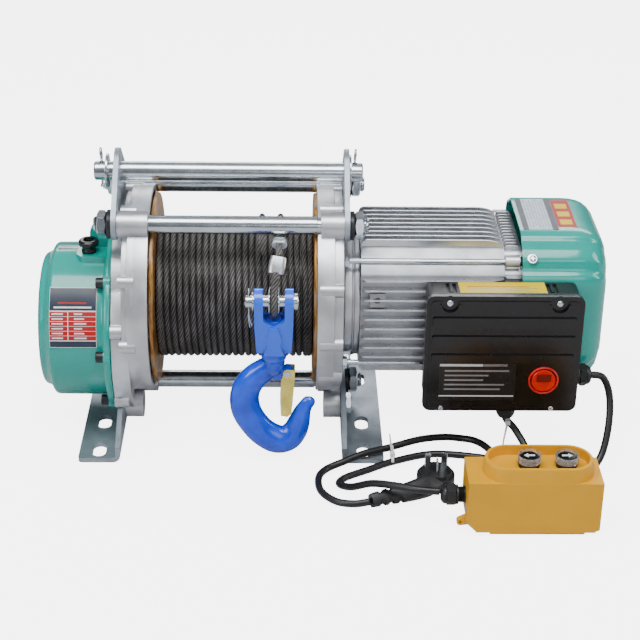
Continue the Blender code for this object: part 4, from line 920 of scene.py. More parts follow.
def gear_case():
    low, high = GEAR_LOW, GEAR_HIGH
    rim = high.x
    z = GEARCASE_Z
    profile = [(0, rim), (93, rim), (93, rim - 7), (79.5, rim - 8.5), (79, rim - 12), (78.6, -184),
               (70, -188), (67, low.x), (0, low.x)]
    case = turned_mesh("case", rounded(profile, 3.5, 5), (0, 0, z), steps=160)
    hollow = turned_mesh("hollow", [(0, rim + 5), (74, rim + 5), (74, -184), (0, -184)], (0, 0, z),
                         steps=96)
    lobe = turned_mesh("lobe", rounded([(0, rim), (69, rim), (68, -142), (64, -147), (0, -147)], 4, 5),
                       (0, 0, AXIS_Z), steps=128)
    lobe = merge(lobe, ("-", box_mesh("front", (-200, -90, 0), (-100, -3, 230))))
    pad_edge = [(-159, 6), (-159, -20), (-154, -26), (-132, -27), (rim - 3, -27), (rim - 3, 6)]
    pad = plate_mesh("pad", [pad_edge], 165, 183.5, "XY")
    steps = [("+", lobe), ("+", pad)]
    screw_places = round_places(86.5, z, (-40, -90, -138, 40, 90, 138))
    steps += studs("ear", rim - 7.5, rim - 1, screw_places, 7.8, 40)
    steps.append(("-", hollow))
    steps.append(("-", cylinder_mesh("filler", (-147, -14, 160), (-147, -14, 200), 5.7, steps=40)))
    place("gear_case_cover", merge(case, *steps), TEAL, stands_for=("gear_housing",), bevel=1.0,
          segments=3, smooth=30)
    screws = [socket_screw((rim - 7.2, y, up), (-1, 0, 0), 5.4, 8.2) for y, up in screw_places]
    place("gear_case_screws", joined("screws", screws), BLACK_OXIDE, bevel=0.35, segments=2)

    top = box_of("oil_filler_plug")[1].z
    plug = [(0, top - 2.2), (5.2, top - 2.2), (5.2, top), (8.4, top), (10.2, top - 1.4),
            (10.2, top - 5.2), (8.6, top - 6.4), (6.4, top - 7.4), (6.4, top - 9.5), (7.4, top - 10.2),
            (7.4, 183.8), (5.2, 183.8), (5.2, 173.5), (0, 173.5)]
    plug = turned_mesh("plug", rounded(plug, 0.5, 2), (-147, -14, 0), along="Z", steps=72)
    hexagon = cylinder_mesh("hexagon", (-147, -14, top - 6), (-147, -14, top - 1), 3.6, steps=6)
    place("oil_plug_turned", merge(plug, ("-", hexagon)), BLACK_GLOSS, stands_for=("oil_filler_plug",))

    # Plain nameplate wrapped on the case, in coloured bands, with an aluminium edge.
    radius = 79.3

    def band(name, left, right, first, last, look, lift):
        angles = [math.radians(first), math.radians(last)]
        rings = []
        for x in (left, right):
            inner = []
            outer = []
            for step in range(13):
                a = angles[0] + (angles[1] - angles[0]) * step / 12
                outer.append((x, -(radius + lift) * math.cos(a), z + (radius + lift) * math.sin(a)))
                inner.append((x, -(radius - 0.6) * math.cos(a), z + (radius - 0.6) * math.sin(a)))
            rings.append(outer + inner[::-1])
        place(name, loft(rings, name), look)

    band("nameplate_base", -182.6, -136.1, 4.8, 48.8, LABEL_WHITE, 0.35)
    band("nameplate_header", -182.2, -136.5, 31.8, 48.3, LABEL_DARK, 0.55)
    band("nameplate_header_line", -174, -146, 36.6, 37.8, LABEL_RED, 0.7)
    band("nameplate_header_bar", -178, -141, 33.4, 34.6, LABEL_WHITE, 0.7)
    rows = 6
    pitch = (31.0 - 10.2) / rows
    for row in range(rows):
        base = 10.2 + row * pitch
        band(f"nameplate_cell_a{row}", -182.2, -164.6, base + 0.22, base + pitch - 0.22, LABEL_RED, 0.55)
        band(f"nameplate_cell_b{row}", -163.7, -136.5, base + 0.22, base + pitch - 0.22, LABEL_RED, 0.55)
        band(f"nameplate_mark_a{row}", -180.0, -169.0, base + 1.25, base + pitch - 1.25, LABEL_WHITE, 0.68)
        band(f"nameplate_mark_b{row}", -158.0, -146.0 - 2 * (row % 3), base + 1.25, base + pitch - 1.25,
             LABEL_WHITE, 0.68)
    band("nameplate_footer", -182.2, -136.5, 5.3, 9.6, LABEL_DARK, 0.55)
    strip = []
    for x in (-180, -158.5):
        a = math.radians(1.3)
        strip.append([(x, -79.4 * math.sin(a * k), z + 79.4 * math.cos(a * k))
                      for k in (-4, -3, -2, -1, 0, 1)]
                     + [(x, -78 * math.sin(a * k), z + 78 * math.cos(a * k))
                        for k in (1, 0, -1, -2, -3, -4)])
    place("top_strip", loft(strip, "top_strip"), LABEL_GREY)


# --- drum, rope and gears ------------------------------------------------------------------------


def drum():
    low, high = box_of("rope_drum")
    f_in = 78.2
    f_out = 82.6
    profile = [(18, high.x), (18, f_out), (96, f_out), (97, f_out - 1), (97, f_in + 1), (96, f_in),
               (41, f_in), (41, -f_in), (96, -f_in), (97, -f_in - 1), (97, -f_out + 1), (96, -f_out),
               (18, -f_out), (18, low.x), (14, low.x), (14, -79), (36, -73), (36, 73), (14, 79),
               (14, high.x)]
    mesh = turned_mesh("drum", profile, (0, 0, AXIS_Z), steps=160)
    place("drum_flanges", mesh, PRIMER, "drum", ("rope_drum",))


def wound_rope():
    """The outer layer as one continuous rope, and the start of a second layer where the free end leaves."""
    pack_r = (PACK_HIGH.z - PACK_LOW.z) / 2 - ROPE_D / 2 + 0.05
    half = ROPE_PITCH * (ROPE_TURNS - 1) / 2
    steps = 60
    path = []
    for index in range(-steps, ROPE_TURNS * steps + 1):
        turn = index / steps
        angle = 2 * math.pi * turn
        wobble = 0.25 * math.sin(turn * 2.9) + (0.5 * math.sin(turn * 7.1) if turn > 18 else 0)
        x = min(half, max(-half, -half + ROPE_PITCH * turn + wobble))
        path.append(Vector((x, -pack_r * math.sin(angle), AXIS_Z + pack_r * math.cos(angle))))
    place("drum_rope_layer", rope_mesh("layer", path, lay=ROPE_LAY, spacing=2.9), DRUM_STRANDS, "drum",
          ("wound_rope",))
    filler = turned_mesh("filler",
                         [(pack_r - 1.2, half + 2.5), (pack_r - 1.2, -half - 2.5), (42.5, -half - 2.5),
                          (42.5, half + 2.5)], (0, 0, AXIS_Z), steps=96)
    place("drum_rope_under_layers", filler, STRANDS, "drum")
    second_r = pack_r + 5.3

    def over(name, body, turns, start_x, pitch, first, sink):
        """A stretch of second-layer rope that dips into the first layer at its far end, or at both."""
        line = []
        for index in range(turns + 1):
            share = index / turns
            angle = first + 2 * math.pi * index / 60
            dip = 7.0 * max(0.0, share - 0.85) / 0.15
            if sink:
                dip += 7.0 * max(0.0, 0.2 - share) / 0.2
            radius = second_r - dip
            line.append(Vector((start_x - pitch * index / 60, radius * math.sin(angle),
                                AXIS_Z + radius * math.cos(angle))))
        place(name, rope_mesh(name, line, lay=ROPE_LAY), STRANDS, body)

    # The last half turn stays with the lead, so it never sweeps through it.
    over("drum_rope_second_layer", "frame", 34, 45.4, 14.0, 0.15, False)
    over("drum_rope_second_crossing", "drum", 26, 27.0, 6.0, -0.62, True)


def free_rope():
    """Static lead from the drum and under the front tie rod, then the moving sleeve and eye."""
    start = Vector((45.6, box_of("rope_lead")[1].y, AXIS_Z + 74.9))
    sleeve_low, sleeve_high = box_of("rope_sleeve")
    x = (sleeve_low.x + sleeve_high.x) / 2
    top = Vector((x + 1.4, -82.0, 210.2))
    bottom = Vector((x - 1.4, -92.0, 196.2))
    end = Vector((44.0, -81.4, 211.0))
    line = through([start, (45.4, -24, 213.6), (45.0, -48, 217.2), (44.6, -64, 218.0), (44.2, -75, 216.4),
                    end], 8)
    place("rope_lead_strands", rope_mesh("lead", line, lay=ROPE_LAY, spacing=1.6), STRANDS, "frame",
          ("rope_lead",))
    ferrule = [p for p in line if -72.5 < p.y < -58]
    sleeve_body("upper_ferrule", ferrule, "frame", 8.2, 4.9)

    inside = [end.lerp(bottom, k / 120) for k in range(121)]
    payout = rope_mesh("payout", inside, radius=ROPE_D / 2 - 0.1, lay=1.9, spacing=0.16, per_strand=3)
    obj = place("rope_payout", payout, STRANDS, None)
    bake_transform(obj)

    sleeve_body("lower_ferrule", [top.lerp(bottom, k / 8) for k in range(9)], "rope_end", 8.6, 4.9,
                ("rope_sleeve",))

    eye_r = 11.9
    down = (bottom - top).normalized()
    tilt = math.atan2(down.y, down.z)
    centre = Vector((HOOK_X, HOOK_Y, PIN_Z))
    loop = [bottom - down * 2 + Vector((0, -2.9, 0.6)), bottom + down * 3 + Vector((0, -4.6, 0))]
    for step in range(25):
        angle = tilt + math.radians(118 - 236 * step / 24)
        loop.append(centre + Vector((0, math.sin(angle) * eye_r, math.cos(angle) * eye_r)))
    loop += [bottom + down * 3 + Vector((0, 4.0, 1)), bottom - down * 2 + Vector((0, 2.9, 0.6))]
    if (loop[2] - loop[0]).length > (loop[-3] - loop[0]).length:
        loop[2:-2] = loop[2:-2][::-1]
    eye = through(loop, 4)
    place("rope_eye_strands", rope_mesh("eye", eye, radius=3.45, lay=26, spacing=0.8), STRANDS,
          "rope_end", ("rope_eye",))
    inner = [p + (centre - p).normalized() * 1.9 for p in eye[6:-6]]

    channel = [(-5.0, 2.8), (-4.2, 3.0), (-3.0, 0.2), (0, -0.8), (3.0, 0.2), (4.2, 3.0), (5.0, 2.8),
               (4.2, -0.6), (2.4, -1.7), (0, -2.0), (-2.4, -1.7), (-4.2, -0.6)]
    rings = []
    for index, point in enumerate(inner):
        tangent = (inner[min(index + 1, len(inner) - 1)] - inner[max(index - 1, 0)]).normalized()
        side = Vector((1, 0, 0))
        up = point - centre
        up = (up - tangent * up.dot(tangent)).normalized()
        rings.append([point + side * u + up * v for u, v in channel])
    place("eye_thimble", loft(rings, "thimble"), ZINC, "rope_end", smooth=50)


def sleeve_body(name, line, body, half_x, half_up, stands_for=()):
    """A pressed aluminium sleeve: oval, pinched in the middle, with rounded ends and press flats."""
    rings = []
    count = len(line)
    for index, point in enumerate(line):
        tangent = (line[min(index + 1, count - 1)] - line[max(index - 1, 0)]).normalized()
        side = Vector((1, 0, 0))
        side = (side - tangent * side.dot(tangent)).normalized()
        up = tangent.cross(side)
        share = index / (count - 1)
        swell = 0.9 + 0.1 * math.sin(math.pi * share)
        ring = []
        for step in range(36):
            a = 2 * math.pi * step / 36
            c = abs(math.cos(a)) ** 0.8 * math.copysign(1, math.cos(a))
            s = abs(math.sin(a)) ** 0.65 * math.copysign(1, math.sin(a))
            groove = 1 - 0.12 * math.exp(-((step % 18 - 9) / 1.2) ** 2)
            ring.append(point + side * half_x * swell * c + up * half_up * swell * s * groove)
        rings.append(ring)
    place(name, loft(rings, name), SATIN, body, stands_for, bevel=0.7, smooth=40)


# --- hook block ----------------------------------------------------------------------------------


def clevis():
    low, high = CLEVIS_LOW, CLEVIS_HIGH
    top = high.z
    outline = [(low.x, top - 3), (low.x + 0.4, 150), (low.x + 2.2, 119.5), (high.x - 2.2, 119.5),
               (high.x - 0.4, 150), (high.x, top - 3), (high.x - 2, top), (HOOK_X + 11.2, top),
               (HOOK_X + 10.4, top - 6), (HOOK_X + 10.3, 158), (HOOK_X + 9.4, 155.8), (HOOK_X, 150.4),
               (HOOK_X - 9.4, 155.8), (HOOK_X - 10.3, 158), (HOOK_X - 10.4, top - 6),
               (HOOK_X - 11.2, top), (low.x + 2, top)]
    body = plate_mesh("yoke", [outline], low.y, high.y, "XZ")
    side = hull([((HOOK_Y, PIN_Z), 13.0), ((HOOK_Y, 128), 12.2)])
    rounded_side = plate_mesh("side", [side], low.x - 2, high.x + 2, "YZ")
    body = merge(body, ("&", rounded_side))
    waist = turned_mesh("waist",
                        rounded([(0, 134), (12.6, 134), (13.0, 127), (12.2, 118), (12.4, 111.1),
                                 (0, 111.1)], 1.5), (HOOK_X, HOOK_Y, 0), along="Z", steps=64)
    keel = [(HOOK_X + x, z)
            for x, z in ((-3.5, 150), (3.5, 150), (7.5, 139), (6.2, 131), (10.2, 120), (-10.2, 120),
                         (-6.2, 131), (-7.5, 139))]
    keels = [("+", plate_mesh("keel", [keel], low.y - 1.8, low.y + 4, "XZ")),
             ("+", plate_mesh("keel", [keel], high.y - 4, high.y + 1.8, "XZ"))]
    pocket = cylinder_mesh("pocket", (HOOK_X, HOOK_Y, 143.2), (HOOK_X, HOOK_Y, 175), 10.3, steps=64)
    body = merge(body, ("+", waist), *keels, ("-", pocket),
                 ("-", cylinder_mesh("bore", (HOOK_X, HOOK_Y, 100), (HOOK_X, HOOK_Y, 160), 8.4,
                                     steps=48)), ("-", hole_x(HOOK_Y, PIN_Z, 6.3, 0, 80, 48)))
    place("clevis_forging", body, BLUE, "clevis", ("hook_clevis",), bevel=1.6, segments=3)
    pin_low, pin_high = box_of("clevis_pin")
    pin = [(0, pin_high.x), (7.6, pin_high.x), (8.2, pin_high.x - 0.7), (8.2, high.x + 0.4),
           (6, high.x + 0.3), (6, pin_low.x + 1), (5.2, pin_low.x), (0, pin_low.x)]
    pin = turned_mesh("pin", pin, (0, HOOK_Y, PIN_Z), steps=56)
    cross_x = low.x - 5
    pin = merge(pin, ("-", cylinder_mesh("hole", (cross_x, HOOK_Y, PIN_Z - 12),
                                         (cross_x, HOOK_Y, PIN_Z + 12), 1.5, steps=16)))
    place("clevis_pin_turned", pin, ZINC, "clevis", ("clevis_pin",))
    washer = ring_x("washer", 6.3, 9.2, low.x - 1.9, low.x - 0.4, PIN_Z, steps=56, edge=0.3)
    washer.transform(Matrix.Translation((0, HOOK_Y * MM, 0)))
    place("clevis_washer", washer, ZINC, "clevis")
    legs = []
    for sign in (-1, 1):
        path = through([(cross_x, HOOK_Y + sign * 2.4, PIN_Z + 11),
                        (cross_x, HOOK_Y + sign * 0.65, PIN_Z + 7.5),
                        (cross_x, HOOK_Y + sign * 0.65, PIN_Z - 8),
                        (cross_x - sign * 0.6, HOOK_Y + sign * 1.3, PIN_Z - 17),
                        (cross_x + 2 - sign, HOOK_Y + sign * 2, PIN_Z - 27 - 2 * sign)], 6)
        legs.append(tube_mesh("leg", path, 0.65, 12))
    eye = [Vector((cross_x, HOOK_Y + 2.4 * math.cos(a), PIN_Z + 11 + 2.4 * math.sin(a))) for a in
           [math.pi * k / 10 for k in range(11)]]
    legs.append(tube_mesh("eye", eye, 0.65, 12))
    place("clevis_split_pin", joined("split", legs), ZINC, "clevis")


def hook():
    """The forged hook: a curved bar whose section is rounder inside and flatter outside."""
    bar = [(0.0, 108.0, 9.6), (-3.0, 102.5, 11.0), (-10.0, 96.5, 12.4), (-19.0, 89.0, 13.3),
           (-26.3, 78.0, 14.0), (-29.2, 65.0, 14.6), (-27.0, 51.0, 14.8), (-20.5, 38.5, 14.6),
           (-11.0, 27.0, 14.8), (2.0, 19.0, 15.2), (13.5, 20.2, 14.3), (21.0, 28.2, 12.6),
           (25.2, 39.0, 11.0), (28.2, 50.0, 8.7), (31.8, 57.8, 7.0), (34.6, 61.6, 6.6), (36.4, 64.2, 5.6),
           (37.3, 65.9, 3.2)]
    points = [Vector((HOOK_X + x, HOOK_Y, z)) for x, z, r in bar]
    sizes = [Vector((r, 0, 0)) for x, z, r in bar]
    path = through(points, 6)
    widths = [v.x for v in through(sizes, 6)]
    rings = []
    for index, point in enumerate(path):
        tangent = (path[min(index + 1, len(path) - 1)] - path[max(index - 1, 0)]).normalized()
        side = Vector((0, 1, 0))
        out = tangent.cross(side)
        ring = []
        for step in range(40):
            a = 2 * math.pi * step / 40
            pinch = 1.0 - 0.16 * math.cos(a)
            ring.append(point + out * widths[index] * math.cos(a)
                        + side * widths[index] * 0.74 * pinch * math.sin(a))
        rings.append(ring)
    bend = loft(rings, "bend")
    neck = [(0, 153.8), (7.2, 153.8), (8, 153), (8, 110.7), (10.4, 110.7), (11.0, 107), (10.0, 100),
            (8, 95), (0, 95)]
    neck = turned_mesh("neck", rounded(neck, 0.8), (HOOK_X, HOOK_Y, 0), along="Z", steps=56)
    px, _, pz = LATCH_PIVOT
    lug = plate_mesh("lug", [hull([((px, pz), 5.2), ((px - 11, pz - 2), 6.0)])], HOOK_Y - 4.5,
                     HOOK_Y + 4.5, "XZ")
    hole = cylinder_mesh("hole", (px, HOOK_Y - 9, pz), (px, HOOK_Y + 9, pz), 2.3, steps=24)
    place("hook_forging", merge(bend, ("+", neck), ("+", lug), ("-", hole)), BLUE, "hook",
          ("swivel_hook",), smooth=40)
    low, high = box_of("swivel_nut")
    nut = turned_mesh("nut",
                      rounded([(9.6, high.z), (9.6, low.z), (8.25, low.z), (8.25, high.z)], 0.4, 2),
                      (HOOK_X, HOOK_Y, 0), along="Z", steps=64)
    notches = []
    for turn in range(4):
        a = math.pi / 2 * turn
        tip = Vector((HOOK_X + 9.8 * math.cos(a), HOOK_Y + 9.8 * math.sin(a), 0))
        notches.append(("-", box_mesh("notch", tip - Vector((1.2, 1.2, -high.z + 3)),
                                      tip + Vector((1.2, 1.2, high.z + 1)))))
    nut = merge(nut, *notches)
    place("swivel_nut_ring", nut, BLUE, "hook", ("swivel_nut",), bevel=0.25, segments=2)


def latch():
    """Pressed latch: a channel with a rounded tongue, cheeks round the lug, and its riveted pin."""
    px, _, pz = LATCH_PIVOT
    lean = math.atan2(-1.0, 49.0)
    turn = Matrix.Translation((px, HOOK_Y, pz)) @ Matrix.Rotation(-lean, 4, "Y")
    reach = 48.4
    edge = [(-6.9, 4.0), (6.9, 4.0), (6.9, -10.0), (5.6, -30.0)] + arc((0, -reach + 4.5), 4.5, 0, -180, 13)
    edge += [(-5.6, -30.0), (-6.9, -10.0)]
    web = plate_mesh("web", [edge], 0.0, 1.5, "YZ")
    bend = Matrix.Translation((5.6, 0, 0)) @ Matrix.Rotation(math.radians(2.6), 4, "Y")
    web.transform(TO_WORLD @ bend @ FROM_WORLD)
    cheek = [(7.0, 4.2), (7.0, -8.0), (5.8, -34.0), (4.4, -45.0), (1.0, -reach), (-5.5, -reach + 1.2),
             (-6.8, -30.0), (-6.0, -8.0), *arc((0, 0), 4.6, 200, 75, 9)]
    plates = [("+", plate_mesh("cheek", [cheek], low, low + 1.6, "XZ")) for low in (-7.0, 5.4)]
    holes = [("-", cylinder_mesh("hole", (0, -12, 0), (0, 12, 0), 2.1, steps=24))]
    mesh = merge(web, *plates, *holes)
    mesh.transform(TO_WORLD @ turn @ FROM_WORLD)
    place("latch_pressing", mesh, CHROMATE, "latch", ("safety_latch",), bevel=0.35, segments=2)
    pin = turned_mesh("pin",
                      rounded([(0, 8.7), (3.6, 8.7), (3.6, 7.2), (2.0, 7.2), (2.0, -7.2), (3.6, -7.2),
                               (3.6, -8.7), (0, -8.7)], 0.4, 2), (px, HOOK_Y, pz), along="Y", steps=32)
    place("latch_rivet", pin, ZINC, "latch")


# --- motor ---------------------------------------------------------------------------------------


def square_outline(half):
    """The motor's square section without fins, its corners stepped in for the through bolts."""
    quarter = [(half, 45.0), (half - 1, 46.6), (46.6, half - 1), (45.0, half)]
    points = []
    for turn in range(4):
        c, s = ((1, 0), (0, 1), (-1, 0), (0, -1))[turn]
        points += [(u * c - v * s, AXIS_Z + u * s + v * c) for u, v in quarter]
    return points


def fins_mesh(name, low, high, skin, tip, span, count, thick, round_rear, round_front=3.0):
    """Cooling fins on all four sides; their rear ends fall away in a quarter ellipse."""
    pieces = []
    for index in range(count):
        offset = -span + 2 * span * index / (count - 1)
        edge = [(low, skin - 2)]
        for step in range(7):
            a = math.pi / 2 * step / 6
            edge.append((low + round_front * (1 - math.cos(a)), skin + (tip - skin) * math.sin(a)))
        for step in range(9):
            a = math.pi / 2 * step / 8
            edge.append((high - round_rear * (1 - math.sin(a)), skin + (tip - skin) * math.cos(a)))
        edge.append((high, skin - 2))
        for sign, plane, base, middle in ((1, "XZ", AXIS_Z, offset), (1, "XY", 0, AXIS_Z + offset),
                                          (-1, "XZ", AXIS_Z, offset), (-1, "XY", 0, AXIS_Z + offset)):
            outline = [(x, base + sign * r) for x, r in edge]
            pieces.append(plate_mesh("fin", [outline], middle - thick / 2, middle + thick / 2, plane))
    return joined(name, pieces)


def motor():
    low, high = MOTOR_LOW, MOTOR_HIGH
    half = high.y
    skin = half - 6.5
    hole = circle((0, AXIS_Z), 61.0, 96)
    core = plate_mesh("core", [square_outline(skin + 0.5), hole], low.x, high.x, "YZ")
    fins = fins_mesh("fins", low.x + 0.4, high.x - 0.4, skin, half + 1.2, 41.8, 9, 1.9, 20.0, 6.0)
    pads = [("+", box_mesh("pad", (133, -half - 0.2, AXIS_Z + 13.5), (149, -skin + 2, AXIS_Z + 28.5))),
            ("-", cylinder_mesh("hole", (141, -half - 3, AXIS_Z + 21), (141, -half + 4, AXIS_Z + 21), 3.2,
                                steps=32))]
    # The core takes the darker aluminium as painted shade between the brighter fins.
    place("motor_casting", merge(core, *pads), CAST_SHADE, stands_for=("motor_body",), bevel=0.5,
          segments=2)
    place("motor_fins", fins, SATIN, bevel=0.3, segments=2)

    shield = box_of("rear_shield")
    core = plate_mesh("shield", [square_outline(62.5), circle((0, AXIS_Z), 7.8, 48)], shield[0].x,
                      shield[1].x, "YZ")
    fins = fins_mesh("fins", shield[0].x + 0.4, shield[1].x - 0.4, 62.5, 67.8, 42.5, 13, 1.8, 3.0)
    steps = [("+", fins), ("-", hole_x(0, AXIS_Z, 56, shield[1].x - 11, 300, 96))]
    for y, z in BOLT_PLACES:
        steps.append(("+", cylinder_mesh("ear", (shield[0].x, y, z), (shield[1].x - 4, y, z), 7.4,
                                         steps=40)))
        steps.append(("-", hole_x(y, z, 3.0, 250, 300)))
    place("rear_shield_casting", merge(core, *steps), CAST, stands_for=("rear_shield",), bevel=0.5,
          segments=2)

    flange_low, flange_high = box_of("motor_flange")
    ring = [(66.0, flange_high.x), (66.0, 119.0), (64.6, 118.4), (64.6, 117.2), (65.6, 116.6),
            (65.6, 109.6), (64, 108.2), (64, flange_low.x + 0.1), (30, flange_low.x + 0.1),
            (30, flange_high.x)]
    place("motor_adaptor", turned_mesh("ring", rounded(ring, 0.6, 2), (0, 0, AXIS_Z), steps=144), CAST,
          stands_for=("motor_flange",), bevel=0.3, segments=2)

    for index in range(4):
        node = f"motor_tie_bolt_{index + 1}"
        end = box_of(node)[1]
        y = BOLT_AT * (1 if index % 2 else -1)
        z = AXIS_Z + BOLT_AT * (1 if index > 1 else -1)
        shank = turned_mesh("shank",
                            [(0, end.x + 1.5), (2.2, end.x + 1.5), (2.9, end.x + 0.8), (2.9, 110),
                             (0, 110)], (0, y, z), steps=28)
        head = nut_mesh(y, z, RIGHT_HIGH.x + 0.8, RIGHT_HIGH.x + 6.2, flats=11, bore=2.0, turn=0.3 * index)
        rear = nut_mesh(y, z, end.x - 4.6, end.x + 0.2, flats=11, bore=2.95, turn=0.4 + 0.3 * index)
        place(node + "_screw", joined(node, [shank, head, rear]), ZINC, stands_for=(node,), bevel=0.2,
              segments=2)


COWL_FORWARD = 5.0  # the shell starts this much nearer the drum than the CAD cowl
COWL_TOP_STRETCH = 1.045  # the upper half stands a little taller than the lower one


def cowl_outline(half, x, per_span=5):
    """The cowl's section: flat sides, a soft ridge, a shallow valley and a flat across each corner."""
    side = [(1.0, -0.30), (1.0, 0.0), (1.0, 0.30), (0.999, 0.50), (0.975, 0.60), (0.922, 0.655),
            (0.898, 0.725), (0.874, 0.79)]
    points = []
    for quarter in range(4):
        c, s = ((1, 0), (0, 1), (-1, 0), (0, -1))[quarter]
        points += [(u * c - v * s, u * s + v * c) for u, v in side]
        points += [(v * c - u * s, v * s + u * c) for u, v in side[:2:-1]]
    flat = [Vector((x, half * u, AXIS_Z + half * v * (COWL_TOP_STRETCH if v > 0 else 1)))
            for u, v in points]
    smooth = through([flat[-1], *flat, flat[0], flat[1]], per_span)
    return smooth[per_span : per_span * (len(flat) + 1)]


def cowl():
    start = COWL_LOW.x - COWL_FORWARD
    outer = [(80.0, start), (80.0, 310), (80.0, 334), (79.6, 342), (78.4, 349), (76.2, 355), (72.8, 360),
             (68.0, 364.2), (62, 366.9), (55, 368.0), (30, 368.2), (3, 368.2)]
    wall = 1.8
    inner = [(half - wall if half > 10 else half, x if x < 345 else x - wall) for half, x in outer]
    rings = [cowl_outline(half, x) for half, x in outer] + [cowl_outline(half, x)
                                                            for half, x in inner[::-1]]
    shell = loft(rings, "cowl", closed=True)
    slots = []
    for index in range(-2, 3):
        y = index * 15.0
        reach = 34 - abs(index) * 5
        outline = arc((y, AXIS_Z + reach - 3.5), 3.5, 0, 180, 13) + arc((y, AXIS_Z - reach + 3.5), 3.5,
                                                                        180, 360, 13)
        slots.append(plate_mesh("slot", [outline], 350, 380, "YZ"))
    place("fan_cowl_shell", merge(shell, ("-", joined("slots", slots))), TEAL, stands_for=("fan_cowl",),
          bevel=0.35, segments=2, smooth=40)
    for i in (-1, 1):
        for j in (-1, 1):
            out = Vector((0, i, j)).normalized()
            stretch = COWL_TOP_STRETCH if j > 0 else 1.0
            across = 66.6 + 3.5
            up = 66.6 - 3.5
            seat = Vector((291, i * across, AXIS_Z + j * up * stretch))
            phillips(f"cowl_screw_{i + 1}{j + 1}", seat, out, 3.5, 5.2)

    # Plain rating sticker and a red one beside it, on the top face near the front edge.
    top = AXIS_Z + 80.0 * COWL_TOP_STRETCH

    def sticker(name, x0, x1, y0, y1, look, lift):
        field(name, (x0, y0), (x1, y1), (top - 0.3, top + lift), look, "XY")

    sticker("rating_field", 290.6, 314.0, -39, 39, LABEL_PALE, 0.3)
    sticker("rating_band_a", 285.0, 290.6, -39, 39, LABEL_DARK, 0.32)
    sticker("rating_band_b", 314.0, 320.0, -39, 39, LABEL_DARK, 0.32)
    for row in range(7):
        x = 292.4 + row * 3.1
        sticker(f"rating_row_{row}", x, x + 0.9, -36 + 3 * (row % 3), 35 - 5 * (row % 2), LABEL_GREY, 0.36)
    sticker("red_sticker", 320.4, 339.0, -32, 36, LABEL_RED, 0.25)
    for index in range(3):
        y = -26 + index * 20
        sticker(f"red_sticker_bar_{index}", 323.6, 335.8, y, y + 12, LABEL_YELLOW, 0.34)


def phillips(name, seat, out, head_r, washer_r=0.0):
    """A cross-recessed pan head screw sitting on a surface, with a washer when asked."""
    seat = Vector(seat)
    out = Vector(out).normalized()
    lift = 0.0
    if washer_r:
        ring = turned_mesh("washer",
                           rounded([(washer_r, 1.1), (washer_r, -0.6), (head_r * 0.5, -0.6),
                                    (head_r * 0.5, 1.1)], 0.4, 2), (0, 0, 0), along="Z", steps=40)
        ring.transform(TO_WORLD @ aim(seat, out) @ FROM_WORLD)
        place(name + "_washer", ring, ZINC)
        lift = 1.0
    dome = [(0, lift + head_r * 0.62)]
    for step in range(1, 9):
        a = math.pi / 2 * step / 8
        dome.append((head_r * math.sin(a), lift + head_r * 0.62 * (0.25 + 0.75 * math.cos(a))))
    dome += [(head_r, lift - 0.5), (0, lift - 0.5)]
    head = turned_mesh("head", dome, (0, 0, 0), along="Z", steps=40)
    arm = head_r * 0.62
    cross = merge(box_mesh("slot", (-arm, -0.55, lift + head_r * 0.32), (arm, 0.55, lift + 9)),
                  ("+", box_mesh("slot", (-0.55, -arm, lift + head_r * 0.32), (0.55, arm, lift + 9))))
    head = merge(head, ("-", cross))
    head.transform(TO_WORLD @ aim(seat, out) @ FROM_WORLD)
    place(name, head, ZINC, bevel=0.12, segments=1)


def aim(seat, out):
    return Matrix.Translation(seat) @ Vector((0, 0, 1)).rotation_difference(out).to_matrix().to_4x4()


# --- control box ---------------------------------------------------------------------------------


LID_FORWARD = 5.0  # the lid and the front of the box stand this much further out than in the CAD
CONTROL_GLAND_END = 40.5  # height of the control gland's lower end


